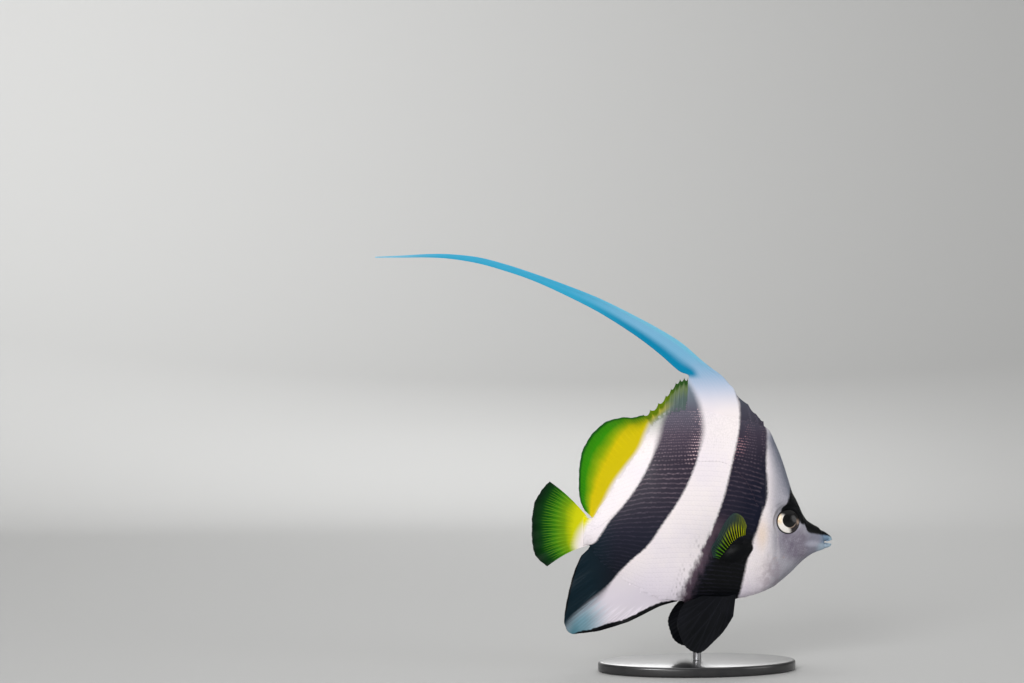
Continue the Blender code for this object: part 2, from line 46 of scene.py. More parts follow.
flesh = {
    "back": [(-69.4, 102.1), (-63.9, 100.6), (-59.1, 107.4), (-51.2, 118.0), (-42.1, 131.1),
             (-33.0, 144.8), (-25.7, 156.1), (-13.5, 163.3), (1.8, 164.4), (15.3, 161.9),
             (27.6, 158.9), (36.9, 156.4), (43.7, 152.8), (48.0, 144.3), (51.7, 135.3),
             (54.8, 125.6), (57.6, 116.5), (61.0, 109.8), (63.9, 103.2), (66.9, 98.6),
             (70.9, 95.7), (75.3, 93.4), (79.0, 91.2), (81.5, 89.4)],
    "belly": [(-69.4, 84.2), (-64.5, 84.5), (-57.3, 75.7), (-46.9, 67.2), (-34.8, 58.7),
              (-22.6, 53.1), (-10.4, 50.9), (0.0, 51.0), (10.4, 51.1), (19.0, 51.3),
              (27.6, 52.4), (35.0, 54.1), (38.7, 55.2), (46.1, 58.4), (52.3, 62.9),
              (57.9, 67.6), (62.8, 72.4), (67.2, 76.0), (70.9, 78.3), (74.0, 79.5),
              (76.5, 80.3), (78.4, 81.0), (80.5, 81.5), (81.5, 81.8)],
    "halfWidth": [3.2, 4.4, 5.4, 6.6, 8.0, 9.5, 11.0, 12.5, 13.5, 14.0, 13.9, 13.5,
                  12.9, 12.0, 10.9, 9.7, 8.5, 7.1, 6.0, 5.2, 4.5, 3.8, 3.3, 2.9],
    "waist": [(0, 0.50), (4, 0.48), (9, 0.56), (12, 0.52), (16, 0.45), (23, 0.50)],
    "backTaper": [(0, 0.55), (1.5, 0.85), (4, 1.0), (11, 0.95), (13, 0.6), (23, 0.5)],
    "bellyTaper": [(0, 0.55), (1.5, 0.85), (4, 1.0), (7.5, 0.6), (23, 0.5)],
    "backRidge": [(0, 0.4), (1, 1.3), (11.6, 1.3), (13, 0.3), (23, 0.3)],
    "bellyRidge": [(0, 0.4), (1, 1.3), (6, 1.2), (7.5, 0.3), (23, 0.3)],
    "lastRung": 20.9,              # the jaws carry on from here
    "coatDepth": 0.25,
    "ringFaces": 96,               # from back to belly on each side
    "faces": (150, 34, 110),       # tail to gill edge, to the cheek edge, to the snout
}
gill = {
    "line": [(47.5, 160.0), (43.5, 148.0), (41.2, 138.0), (39.9, 129.3), (39.1, 111.4),
             (36.4, 102.4), (33.8, 93.5), (31.7, 86.9), (30.4, 81.0), (29.3, 75.0),
             (28.9, 66.7), (31.1, 60.2), (36.0, 54.8), (42.0, 48.0)],
    "cheek": [(55.0, 150.0), (50.0, 130.0), (46.4, 116.0), (44.6, 108.3), (42.8, 99.4),
              (42.0, 87.4), (42.1, 75.5), (45.2, 66.4), (51.5, 60.0), (56.0, 52.0)],
    "step": 0.8, "ramp": 14.0, "top": 132.0, "fade": 8.0,
    "cheekStep": 0.32, "cheekRamp": 5.0, "cheekFoot": (62.0, 8.0), "cheekTop": (116.0, 12.0),
    "edgeWidth": 0.016,            # of a rung, over which the step falls away
}
eye = {
    "centre": (53.8, 9.1, 98.2), "radius": 8.0, "depth": 4.0, "sunk": 1.8,
    "forward": math.radians(6), "up": math.radians(4),
    "pupil": 4.2, "pupilShift": (0.1, 0.7), "faces": (96, 48),
    "rim": (8.3, 0.55, 0.35, 0.25),          # radius, width, height and how deep it stands
    "socket": (7.9, 7.35, 2.2, -1.2),        # radius, start and slope of its wall, floor
    "ring": (11.2, 2.6),                     # where the skin round it begins to rise
}
lobe = {                           # fleshy base of the pectoral fin
    "centre": (22.2, 80.0), "turn": math.radians(27), "half": (9.6, 4.9), "rise": 2.0,
}
snout = {
    "nostrils": [(64.2, 97.9, 0.5), (66.4, 95.9, 0.42)],        # x, z, radius
    "pit": 0.6, "pitRim": (0.06, 1.5, 0.4),  # depth; height, place and width, all in radii
    "upper": [(72.5, 83.2, 92.6, 2.6), (75.5, 84.3, 92.4, 3.0), (77.6, 85.1, 91.8, 3.05),
              (78.8, 85.4, 91.1, 3.0), (80.3, 85.8, 90.1, 2.8), (81.6, 86.1, 89.1, 2.4),
              (82.4, 86.4, 88.3, 1.8), (82.9, 86.9, 87.7, 0.8)],
    "lower": [(72.5, 81.2, 86.5, 2.5), (75.5, 81.1, 85.6, 2.8), (77.6, 81.0, 84.8, 2.9),
              (78.8, 81.2, 84.5, 2.9), (80.2, 81.5, 84.2, 2.7), (81.4, 82.0, 84.0, 2.3),
              (82.2, 82.5, 83.8, 1.6), (82.6, 82.9, 83.5, 0.7)],
    "lips": {"upper": (85.7, 86.7), "lower": (84.0, 83.5)},
    "lipRadius": 0.6,
    "soften": [(73.5, 78.3, 0.5, 14), (77.9, 90.0, 0.4, 3)],    # from x to x, strength, rounds
}


def ease(share):
    share = np.clip(share, 0.0, 1.0)
    return share * share * (3.0 - 2.0 * share)


def readEased(pairs, where):
    places, values = np.array(pairs, float).T
    k = np.clip(np.searchsorted(places, where, side="right") - 1, 0, len(places) - 2)
    return values[k] + (values[k + 1] - values[k]) * ease((where - places[k])
                                                          / (places[k + 1] - places[k]))


def readCurve(points, where):
    # smooth curve through the points, read at fractional places
    points = np.asarray(points, float)
    last = len(points) - 1
    where = np.clip(np.asarray(where, float), 0.0, last)
    k = np.minimum(where.astype(int), last - 1)
    t = (where - k)[..., None]
    before, start, end, after = (points[np.clip(k + d, 0, last)] for d in (-1, 0, 1, 2))
    leave, arrive = (end - before) * 0.5, (after - start) * 0.5
    return (start * (2 * t ** 3 - 3 * t ** 2 + 1) + leave * (t ** 3 - 2 * t ** 2 + t)
            + end * (3 * t ** 2 - 2 * t ** 3) + arrive * (t ** 3 - t ** 2))


def lineX(line, height):
    # x of a mostly upright line at a height
    xs, zs = np.array(line, float)[::-1].T
    return np.interp(height, zs, xs)


def fleshPoint(rung, angle):
    # right half of the flesh, y given positive: angle 0 is the back, pi the belly
    back, belly = readCurve(flesh["back"], rung), readCurve(flesh["belly"], rung)
    waist, cosine = readEased(flesh["waist"], rung), np.cos(angle)
    upper = cosine >= 0.0
    share = np.where(upper, waist * (1 - cosine), waist - (1 - waist) * cosine)
    ridge = np.where(upper, readEased(flesh["backRidge"], rung),
                     readEased(flesh["bellyRidge"], rung))
    taper = np.where(upper, readEased(flesh["backTaper"], rung),
                     readEased(flesh["bellyTaper"], rung))
    width = readCurve(np.array(flesh["halfWidth"])[:, None], rung)[..., 0]
    out = ridge + (width - ridge) * np.abs(np.sin(angle)) ** (2 * taper)
    place = back + (belly - back) * share[..., None]
    return np.stack([place[..., 0], out, place[..., 1]], -1)


def rungOnLine(line, angle):
    # where a ring of the flesh crosses an upright line, by halving
    low, high = np.full_like(angle, 8.0), np.full_like(angle, 18.0)
    for _ in range(40):
        middle = (low + high) / 2
        point = fleshPoint(middle, angle)
        ahead = point[..., 0] > lineX(line, point[..., 2])
        low, high = np.where(ahead, low, middle), np.where(ahead, middle, high)
    return (low + high) / 2


def addObject(name, data):
    item = bpy.data.objects.new(name, data)
    bpy.context.scene.collection.objects.link(item)
    return item


def settle(mesh, weld=0.0, change=None):
    # points nearer than weld join, a change is made, and all faces look outward
    work = bmesh.new()
    work.from_mesh(mesh)
    if weld:
        bmesh.ops.remove_doubles(work, verts=work.verts, dist=weld * mm)
    if change:
        change(work)
    bmesh.ops.recalc_face_normals(work, faces=work.faces)
    work.to_mesh(mesh)
    work.free()
    mesh.shade_smooth()


def toScene(points):
    return np.asarray(points, float) * mm - np.array([0.0, 0.0, underside * mm])


def meshPiece(name, points, faces, weld=0.002):
    mesh = bpy.data.meshes.new(name)
    mesh.from_pydata(toScene(points).tolist(), [], [list(map(int, f)) for f in faces])
    settle(mesh, weld)
    return addObject(name, mesh)


def tubeFaces(rings, count):
    # faces of rings of equal count, closed round, with both ends capped
    a = np.arange(count)
    b = (a + 1) % count
    faces = [np.stack([r * count + a, r * count + b, (r + 1) * count + b,
                       (r + 1) * count + a], 1) for r in range(rings - 1)]
    faces = np.concatenate(faces).tolist()
    faces.append(list(range(count))[::-1])
    faces.append(list(range((rings - 1) * count, rings * count)))
    return faces


def setFields(piece, **fields):
    # numbers or vectors at the points of a mesh
    for name, values in fields.items():
        values = np.asarray(values, np.float32)
        kind, key = ("FLOAT", "value") if values.ndim == 1 else ("FLOAT_VECTOR", "vector")
        layer = piece.data.attributes.new(name, kind, "POINT")
        layer.data.foreach_set(key, values.ravel())


def finishPiece(piece, slot, *nodes):
    if nodes:
        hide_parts(*nodes)
    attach(piece, "root")


# Skin

def eyeFrame():
    # centre, looking direction and the two directions across the right eye
    turn = Matrix.Rotation(eye["forward"], 4, "Z") @ Matrix.Rotation(-eye["up"], 4, "X")
    looks = turn @ Vector((0.0, -1.0, 0.0))
    x, y, z = eye["centre"]
    centre = Vector((x, -y, z)) - looks * eye["sunk"]
    return centre, looks, turn @ Vector((1.0, 0.0, 0.0)), turn @ Vector((0.0, 0.0, 1.0))


def lobeSpan(x, z):
    # 0 in the middle of the pectoral fin's base, 1 on its edge
    x, z = x - lobe["centre"][0], z - lobe["centre"][1]
    along = (x * math.cos(lobe["turn"]) + z * math.sin(lobe["turn"])) / lobe["half"][0]
    across = (z * math.cos(lobe["turn"]) - x * math.sin(lobe["turn"])) / lobe["half"][1]
    return np.hypot(along, across)


def gridNormals(points):
    along = np.gradient(points, axis=0)
    across = np.gradient(points, axis=1)
    normal = np.cross(across, along)
    length = np.linalg.norm(normal, axis=-1, keepdims=True)
    return normal / np.maximum(length, 1e-9)


def skinGrid():
    angle = np.linspace(0.0, math.pi, flesh["ringFaces"] + 1)
    gillRung, cheekRung = rungOnLine(gill["line"], angle), rungOnLine(gill["cheek"], angle)
    tailFaces, gillFaces, snoutFaces = flesh["faces"]
    edge = gill["edgeWidth"]
    steps = np.concatenate([
        np.linspace(0.0, 1.0, tailFaces, endpoint=False),
        1.0 + np.linspace(0.0, 1.0, gillFaces, endpoint=False),
        2.0 + np.linspace(0.0, 1.0, snoutFaces + 1)])
    rungs = np.empty((len(steps), len(angle)))
    for k in range(len(angle)):
        g, c = gillRung[k], cheekRung[k]
        rungs[:, k] = np.interp(steps, [0, 0.999, 1, 1.999, 2, 3],
                                [0, g - edge, g + edge, c - edge, c + edge, flesh["lastRung"]])
    angles = np.broadcast_to(angle, rungs.shape)
    return rungs, angles, steps


def dressSkin(points, angles, steps):
    # the gill cover and cheek stand out, the eye has a rim, the nostrils are pits
    x, z = points[..., 0], points[..., 2]
    aheadOfGill = (steps >= 1.0)[:, None]
    rise = ease((lineX(gill["line"], z) + gill["ramp"] - x) / gill["ramp"])
    swell = gill["step"] * rise * ease((gill["top"] - z) / gill["fade"]) * aheadOfGill
    aheadOfCheek = (steps >= 2.0)[:, None]
    rise = ease((lineX(gill["cheek"], z) + gill["cheekRamp"] - x) / gill["cheekRamp"])
    (foot, footFade), (top, topFade) = gill["cheekFoot"], gill["cheekTop"]
    low, high = ease((z - foot) / footFade), ease((top - z) / topFade)
    swell = swell + gill["cheekStep"] * rise * low * high * aheadOfCheek
    swell = swell + lobe["rise"] * np.clip(1 - lobeSpan(x, z) ** 2, 0, 1) ** 0.8
    points[..., 1] += swell * np.sin(angles)

    points = points - gridNormals(points) * flesh["coatDepth"]
    normals = gridNormals(points)

    right = points * np.array([1.0, -1.0, 1.0])
    centre, looks, across, up = (np.array(v) for v in eyeFrame())
    away = right - centre
    depth, sideways, upward = away @ looks, away @ across, away @ up
    span = np.hypot(sideways, upward)
    ball = eye["depth"] * np.sqrt(np.clip(1 - (span / eye["radius"]) ** 2, 0, 1))
    radius, width, height, deep = eye["rim"]
    rim = eye["sunk"] - deep + height * np.exp(-((span - radius) / width) ** 2)
    edge, start, slope, floor = eye["socket"]
    socket = np.where(span < edge, np.minimum(rim, ball + (span - start) * slope), rim)
    socket = np.maximum(socket, floor)
    ring, fade = eye["ring"]
    near = ease((ring - span) / fade) * (depth > -6.0)
    points = points + (looks * np.array([1.0, -1.0, 1.0])) * ((socket - depth) * near)[..., None]

    for nx, nz, radius in snout["nostrils"]:
        spot = np.unravel_index(np.argmin(np.hypot(x - nx, z - nz)), x.shape)
        span = np.linalg.norm(points - points[spot], axis=-1) / radius
        height, place, width = snout["pitRim"]
        pit = -snout["pit"] * np.exp(-span ** 4) + height * np.exp(-((span - place) / width) ** 2)
        points = points + normals * (pit * radius)[..., None]
    return points


def makeJaw(which):
    stations, sides, steps = np.array(snout[which]), 48, 56
    places = np.linspace(0, len(stations) - 1, steps + 1)
    rows = readCurve(stations, places)
    angle = np.linspace(0, 2 * math.pi, sides, endpoint=False)
    x = np.broadcast_to(rows[:, :1], (len(rows), sides))
    y = rows[:, 3:4] * np.cos(angle)
    z = (rows[:, 1:2] + rows[:, 2:3]) / 2 + (rows[:, 2:3] - rows[:, 1:2]) / 2 * np.sin(angle)
    points = np.stack([x, y, z], -1).reshape(-1, 3)
    jaw = meshPiece(which + "_jaw_form", points, tubeFaces(len(rows), sides))

    corner, tip = stations[3], stations[-1]
    cornerZ, tipZ = snout["lips"][which]
    turn = np.linspace(-math.pi / 2, math.pi / 2, 41)
    middle = np.stack([corner[0] + (tip[0] - corner[0] - 0.25) * np.cos(turn),
                       (corner[3] - 0.2) * np.sin(turn),
                       cornerZ + (tipZ - cornerZ) * np.cos(turn)], -1)
    thick = snout["lipRadius"] * (0.45 + 0.55 * np.cos(turn) ** 0.5)
    lip = meshPiece(which + "_lip_form", *tubeRings(middle, thick, 16))
    return jaw, lip


def tubeRings(line, radius, sides):
    # points and faces of a round tube on a line of points, its radius given at each
    line = np.asarray(line, float)
    ahead = np.gradient(line, axis=0)
    ahead /= np.linalg.norm(ahead, axis=1, keepdims=True)
    upright = np.array([0.0, 0.0, 1.0])
    across = np.cross(ahead, upright)
    across /= np.maximum(np.linalg.norm(across, axis=1, keepdims=True), 1e-9)
    over = np.cross(across, ahead)
    turn = np.linspace(0, 2 * math.pi, sides, endpoint=False)[None, :, None]
    size = np.broadcast_to(radius, len(line))[:, None, None]
    ring = across[:, None] * np.cos(turn) + over[:, None] * np.sin(turn)
    return (line[:, None] + ring * size).reshape(-1, 3), tubeFaces(len(line), sides)


def evaluatedMesh(piece):
    graph = bpy.context.evaluated_depsgraph_get()
    graph.update()
    return bpy.data.meshes.new_from_object(piece.evaluated_get(graph), depsgraph=graph)


def makeSkin():
    rungs, angles, steps = skinGrid()
    half = dressSkin(fleshPoint(rungs, angles), angles, steps)
    right = half * np.array([1.0, -1.0, 1.0])
    ring = np.concatenate([half, right[:, -2:0:-1]], axis=1)
    ring[:, 0, 1] = 0.0
    ring[:, flesh["ringFaces"], 1] = 0.0
    # the snout closes inside the mouth in a few shrinking rings
    close = [ring[-1] * (1 - s) + (ring[-1].mean(0) + np.array([t, 0, 0])) * s
             for s, t in ((0.12, 2.2), (0.4, 1.9), (0.75, 1.6))]
    rings = np.concatenate([ring, np.array(close)], axis=0)
    count = rings.shape[1]
    skin = meshPiece("fish_skin", rings.reshape(-1, 3), tubeFaces(len(rings), count))
    forms = [form for which in ("upper", "lower") for form in makeJaw(which)]
    for form in forms:
        join = skin.modifiers.new("Join", "BOOLEAN")
        join.operation = "UNION"
        join.object = form
        join.solver = "EXACT"
    mesh = evaluatedMesh(skin)
    skin.modifiers.clear()
    skin.data = mesh
    for form in forms:
        bpy.data.objects.remove(form)
    settle(mesh, 0.01, softenJoin)
    return skin


def softenJoin(work):
    # the jaws run into the snout without a crease
    for start, end, factor, rounds in snout["soften"]:
        zone = [v for v in work.verts if start * mm < v.co.x < end * mm]
        for _ in range(rounds):
            bmesh.ops.smooth_vert(work, verts=zone, factor=factor, use_axis_x=True,
                                  use_axis_y=True, use_axis_z=True)


# Fins

frontSpines = {
    "rows": [(11.75, 40.8, 158.2), (11.45, 37.4, 161.6), (11.0, 33.6, 165.4),
             (10.55, 30.0, 170.0), (10.0, 24.3, 174.3)],
    "rays": 4, "stiff": True, "bare": 0.0, "rise": 0.4, "width": 0.2, "notch": 1.3,
    "root": 1.25, "edge": 0.14, "perRay": 26, "up": 44,
}
rearSpines = {
    "rows": [(7.5, -5.6, 184.4), (7.2, -8.6, 184.2), (6.95, -12.0, 182.4),
             (6.7, -15.8, 177.8), (6.45, -20.4, 172.3), (6.15, -27.0, 166.4),
             (5.82, -33.0, 162.4)],
    "rays": 9, "stiff": True, "bare": 0.1, "rise": 0.3, "width": 0.17, "notch": 1.9,
    "root": 1.25, "edge": 0.14, "perRay": 22, "up": 60, "joined": 1.0,
}
softDorsal = {
    "rows": [(5.85, -32.8, 162.4), (5.4, -39.0, 160.8), (5.0, -45.7, 160.9),
             (4.55, -55.0, 158.5), (4.1, -62.7, 152.6), (3.65, -68.1, 145.0),
             (3.2, -70.8, 137.4), (2.7, -72.0, 127.8), (2.2, -72.0, 117.8),
             (1.7, -70.9, 110.6), (1.1, -68.6, 105.6)],
    "rays": 24, "bare": 0.25, "rise": 0.1, "width": 0.16, "notch": 0.35,
    "root": 1.25, "edge": 0.12, "perRay": 18, "up": 80, "joined": 0.0,
}
analFin = {
    "rows": [(6.05, -12.6, 50.0), (5.6, -23.4, 47.2), (5.15, -34.4, 41.9), (4.75, -44.5, 37.6),
             (4.35, -57.0, 33.9), (4.0, -68.5, 32.2), (3.65, -77.2, 32.2),
             (3.3, -80.6, 37.2), (2.9, -80.6, 44.8), (2.45, -79.0, 53.6),
             (1.95, -76.6, 63.2), (1.5, -73.9, 71.4), (1.08, -70.8, 78.2)],
    "rays": 21, "bare": 0.34, "rise": 0.13, "width": 0.16, "notch": 0.45,
    "root": 1.3, "edge": 0.12, "perRay": 18, "up": 84,
}
tailFin = {
    "rows": [(0.02, -89.7, 123.1), (0.12, -94.8, 117.5), (0.26, -98.6, 110.6),
             (0.42, -100.3, 101.6), (0.58, -100.4, 93.0), (0.73, -100.0, 84.6),
             (0.87, -97.4, 77.6), (0.98, -91.2, 72.3)],
    "rays": 17, "bare": 0.15, "rise": 0.17, "width": 0.17, "notch": 0.4,
    "root": 1.3, "edge": 0.12, "perRay": 20, "up": 84, "bend": 1.5,
}
pectoral = {
    "root": [(27.9, 11.4, 85.4), (22.4, 11.6, 84.3), (18.2, 11.8, 81.4), (14.0, 11.8, 76.2)],
    "tips": [(24.6, 25.0, 97.2), (20.4, 31.5, 102.9), (15.8, 35.5, 105.4),
             (11.6, 37.5, 104.2), (8.5, 37.0, 100.0), (6.1, 35.5, 94.6),
             (4.0, 32.5, 89.4), (2.4, 29.0, 84.4), (4.8, 23.0, 78.4)],
    "rays": 16, "rise": 0.2, "width": 0.19, "notch": 0.3, "thick": 1.5,
    "edge": 0.1, "perRay": 20, "up": 64, "sag": 2.5, "sunk": 3.0,
}
pelvic = {
    "root": [(24.4, 3.6, 59.6), (15.0, 3.0, 57.2)],
    "tips": [(19.4, 12.0, 41.8), (13.1, 15.0, 34.0), (6.9, 17.0, 28.1),
             (0.3, 18.0, 22.7), (-5.2, 18.0, 21.3), (-10.8, 17.0, 25.1),
             (-14.0, 15.0, 31.8), (-15.0, 13.0, 38.4), (-13.2, 10.5, 44.8),
             (-9.0, 7.6, 50.6)],
    "rays": 7, "rise": 0.24, "width": 0.1, "notch": 0.5, "thick": 1.5,
    "edge": 0.12, "perRay": 44, "up": 76, "sag": 0.0, "sunk": 3.0,
}
banner = {
    "front": [(23.7, 174.9), (19.4, 180.9), (15.0, 185.7), (8.8, 190.2)],
    "rear": [(-6.1, 168.5), (-5.9, 173.0), (-5.6, 177.5), (-5.4, 181.8)],
    "upper": [(2.4, 195.2), (-9.5, 205.3), (-23.0, 213.6), (-37.5, 221.3), (-58.5, 231.5),
              (-79.3, 239.7), (-98.6, 246.5), (-115.1, 251.8), (-131.6, 256.0),
              (-148.0, 257.8), (-161.7, 257.9), (-177.0, 257.0), (-193.0, 256.2)],
    "lower": [(-5.3, 185.9), (-11.4, 188.7), (-23.0, 198.7), (-37.5, 209.6), (-58.5, 222.8),
              (-79.3, 233.4), (-98.6, 242.0), (-115.1, 247.7), (-131.6, 252.3),
              (-148.0, 255.0), (-161.7, 255.8), (-177.0, 255.7), (-193.0, 255.6)],
    "rungs": (9.98, 7.48), "sway": 5.0, "faces": (330, 28), "root": 1.2, "edge": 0.16,
    "spine": 0.62, "spinePlace": 0.9, "spineReach": 1.15,
    "ridges": 5, "ridge": 0.1,      # low ridges near the root and their height
}


finSunk, tailSunk = 1.8, 2.5    # how far the roots of the fins go into the flesh


def finSheet(root, edge, size):
    # root and edge give points for shares across; the result is a sheet without thickness and the
    # profile of its rays
    columns = (size["rays"] - 1) * size["perRay"]
    across = np.linspace(0.0, 1.0, columns + 1)
    reach = np.linspace(0.0, 1.0, size["up"] + 1)
    count = across * (size["rays"] - 1)
    off = count - np.round(count)
    start, end = root(across), edge(across)
    length = np.linalg.norm(end - start, axis=1, keepdims=True)
    if size.get("stiff"):
        notch = size["notch"] * np.sin(np.pi * np.abs(off)) ** 0.7
    else:
        wave = 0.5 - 0.5 * np.cos(2 * math.pi * off * 4)
        slow = np.sin(count * 5.1) + np.sin(count * 2.3 + 1.0)
        notch = size["notch"] * (0.55 * wave + 0.22 * (slow + 2.0))
    end = end - (end - start) / length * notch[:, None]
    sheet = start[None] + (end - start)[None] * reach[:, None, None]

    split = ease((reach - 0.34) / 0.5)[:, None] * 0.25
    again = ease((reach - 0.66) / 0.34)[:, None] * 0.125
    if size.get("stiff"):
        split, again = split * 0, again * 0
    width = size["width"] * (1.0 - (0.5 if size.get("stiff") else 0.62) * reach)[:, None]
    ray = np.zeros((len(reach), len(across)))
    for one in (-1, 1):
        for two in (-1, 1):
            ray = np.maximum(ray, np.exp(-((off[None] - one * split - two * again) / width) ** 2))
    return sheet, ray, reach, across


def closeSheet(name, sheet, half, normal, numbers):
    # two faces of a grid, joined round its edges
    rows, columns = sheet.shape[:2]
    front = sheet + normal * half[..., None]
    back = sheet - normal * half[..., None]
    total = rows * columns
    a = (np.arange(rows - 1)[:, None] * columns + np.arange(columns - 1)[None]).ravel()
    top = np.stack([a, a + 1, a + columns + 1, a + columns], 1)
    bottom = top[:, ::-1] + total
    rim = np.concatenate([np.arange(columns), np.arange(1, rows) * columns + columns - 1,
                          (rows - 1) * columns + np.arange(columns - 2, -1, -1),
                          np.arange(rows - 2, 0, -1) * columns])
    nextRim = np.roll(rim, -1)
    side = np.stack([nextRim, rim, rim + total, nextRim + total], 1)
    points = np.concatenate([front.reshape(-1, 3), back.reshape(-1, 3)])
    piece = meshPiece(name, points, np.concatenate([top, bottom, side]), weld=0.0)
    for key, values in numbers.items():
        flat = np.broadcast_to(values, (rows, columns)).ravel()
        setFields(piece, **{key: np.concatenate([flat, flat])})
    return piece


finForm = {
    "outer": 0.985, "outerThick": 0.55,      # share of the reach, share of the thickness there
    "fall": 3.2, "pairedFall": 3.4,          # how fast the thickness falls from the root
    "ripples": [(0.5, 23.0, 0.7), (0.35, 47.0, 0.0)], "rippleRise": 2.2, "rippleSize": 0.8,
}


def closeFin(name, size, sheet, normal, half, ray, slot, node, **more):
    # thickens a fin's sheet, with ridges along its rays and a thin outer edge
    rise = np.linspace(0.0, 1.0, size["up"] + 1)[:, None]
    half = (half + size["rise"] * ray) * np.where(rise > finForm["outer"],
                                                   finForm["outerThick"], 1.0)
    count = np.linspace(0.0, 1.0, sheet.shape[1])[None] * (size["rays"] - 1)
    piece = closeSheet(name, sheet, half, normal, {"reach": rise, "across": count, "ray": ray,
                                                   **more})
    finishPiece(piece, slot, node)
    return piece


def medianRoot(line, rungs, inward):
    # points sunk a little into the flesh along the back or belly
    def root(across):
        rung = readCurve(np.array(rungs)[:, None], across * (len(rungs) - 1))[:, 0]
        place = readCurve(line, rung)
        step = readCurve(line, rung + 0.05) - readCurve(line, rung - 0.05)
        step /= np.linalg.norm(step, axis=1, keepdims=True)
        normal = np.stack([-step[:, 1], step[:, 0]], 1) * inward
        return np.stack([place[:, 0] + normal[:, 0], 0 * rung, place[:, 1] + normal[:, 1]], 1)
    return root


def edgeLine(rows):
    ends = [row[-2:] for row in rows]

    def edge(across):
        place = readCurve(ends, across * (len(ends) - 1))
        return np.stack([place[:, 0], 0 * across, place[:, 1]], 1)
    return edge


def medianFin(name, size, line, inward, slot, node):
    if name == "tail_fin_sheet":
        top, bottom = np.array(flesh["back"][0]), np.array(flesh["belly"][0])

        def root(across):
            shares = readCurve(np.array(size["rows"])[:, :1], across * (len(size["rows"]) - 1))
            place = top + (bottom - top) * shares
            return np.stack([place[:, 0] + inward, 0 * across, place[:, 1]], 1)
    else:
        root = medianRoot(line, [row[0] for row in size["rows"]], inward)
    sheet, ray, reach, across = finSheet(root, edgeLine(size["rows"]), size)
    if "joined" in size:
        ray = ray * ease(np.abs(across - size["joined"]) / 0.04)
    rise = reach[:, None]
    sheet[..., 2] += size.get("bend", 0.0) * np.sin(math.pi * rise)
    if not size.get("stiff"):
        ripple = sum(high * np.sin(across * often + shift)
                     for high, often, shift in finForm["ripples"])
        sheet[..., 1] += ripple[None] * rise ** finForm["rippleRise"] * finForm["rippleSize"]
    half = size["edge"] + (size["root"] - size["edge"]) * (1 - rise) ** finForm["fall"]
    fullness = ease((rise - size["bare"]) / 0.25) * (1.0 - 0.55 * rise)
    normal = np.broadcast_to([0.0, -1.0, 0.0], sheet.shape)
    margin = (1 - rise) * np.linalg.norm(sheet[-1] - sheet[0], axis=-1)
    return closeFin(name, size, sheet, normal, half, ray * fullness, slot, node, margin=margin)


def pairedFin(name, size, side, slot, node):
    flip = np.array([1.0, side, 1.0])

    def root(across):
        place = readCurve(size["root"], across * (len(size["root"]) - 1))
        return (place + np.array([0.0, -size["sunk"], 0.0])) * flip

    def edge(across):
        return readCurve(size["tips"], across * (len(size["tips"]) - 1)) * flip
    sheet, ray, reach, across = finSheet(root, edge, size)
    rise = reach[:, None]
    sheet[..., 1] -= side * size["sag"] * np.sin(math.pi * rise)
    sheet[..., 1] += side * 0.5 * np.sin(across * 19.0)[None] * rise ** 2
    half = size["edge"] + (size["thick"] - size["edge"]) * (1 - rise) ** finForm["pairedFall"]
    fullness = np.minimum(1.0, rise * 4.0) * (1.0 - 0.5 * rise)
    return closeFin(name, size, sheet, gridNormals(sheet), half, ray * fullness, slot, node)


def makeBanner():
    rungs = banner["rungs"]
    below = np.array([0.0, finSunk])
    sunk = [readCurve(flesh["back"], r) - below for r in rungs]
    upper = np.array([tuple(sunk[0])] + banner["front"] + banner["upper"])
    lower = np.array([tuple(sunk[1])] + banner["rear"] + banner["lower"])
    rows, columns = banner["faces"]
    early = len(banner["front"]) + 1
    last = len(upper) - 1
    where = np.linspace(0, 1, rows + 1) ** 1.15 * last
    top, bottom = readCurve(upper, where), readCurve(lower, where)
    share = np.linspace(0.0, 1.0, columns + 1)
    flat = top[:, None] + (bottom - top)[:, None] * share[None, :, None]
    # the first line follows the back itself
    backLine = readCurve(flesh["back"], rungs[0] + (rungs[1] - rungs[0]) * share)
    lift = backLine - below - flat[0]
    flat = flat + lift[None] * ((1 - np.clip(where / early, 0, 1)) ** 1.5)[:, None, None]
    beyond = np.clip(where - early, 0, None) / (last - early)
    drift = banner["sway"] * beyond ** 2
    sheet = np.stack([flat[..., 0], np.broadcast_to(drift[:, None], flat.shape[:2]),
                      flat[..., 1]], -1)
    rise = (where / last)[:, None]
    wide = np.linalg.norm(bottom - top, axis=1)[:, None]
    fromEdge = share[None] * wide
    spine = banner["spine"] * (1 - 0.72 * rise)
    off = (fromEdge - banner["spinePlace"]) / banner["spineReach"]
    bulge = np.sqrt(np.clip(1 - off ** 2, 0, 1)) * spine
    half = banner["edge"] + (banner["root"] - banner["edge"]) * np.clip(
        1 - where / early, 0, 1)[:, None] ** 2
    half = half * (1 - 0.35 * share[None] * ease(where / early)[:, None])
    half = np.minimum(np.maximum(half, bulge), 0.1 + 0.55 * wide)
    rays = 0.5 + 0.5 * np.cos(share[None] * 2 * math.pi * banner["ridges"] + 0.4)
    fade = np.clip(1 - where / (early + 3.0), 0, 1)[:, None]
    half = half + banner["ridge"] * rays ** 6 * fade * np.minimum(1, rise * 30)
    normal = np.broadcast_to([0.0, -1.0, 0.0], sheet.shape)
    piece = closeSheet("banner_sheet", sheet, half, normal, {
        "reach": rise, "across": share[None], "ray": bulge / banner["spine"]})
    finishPiece(piece, "banner", "banner_base", "banner_middle", "banner_tip")
    return piece


skin = makeSkin()
finishPiece(skin, "body_skin", "head", "torso", "tail_stalk", "upper_jaw", "lower_jaw")
print("bannerfish: skin with", len(skin.data.polygons), "faces")

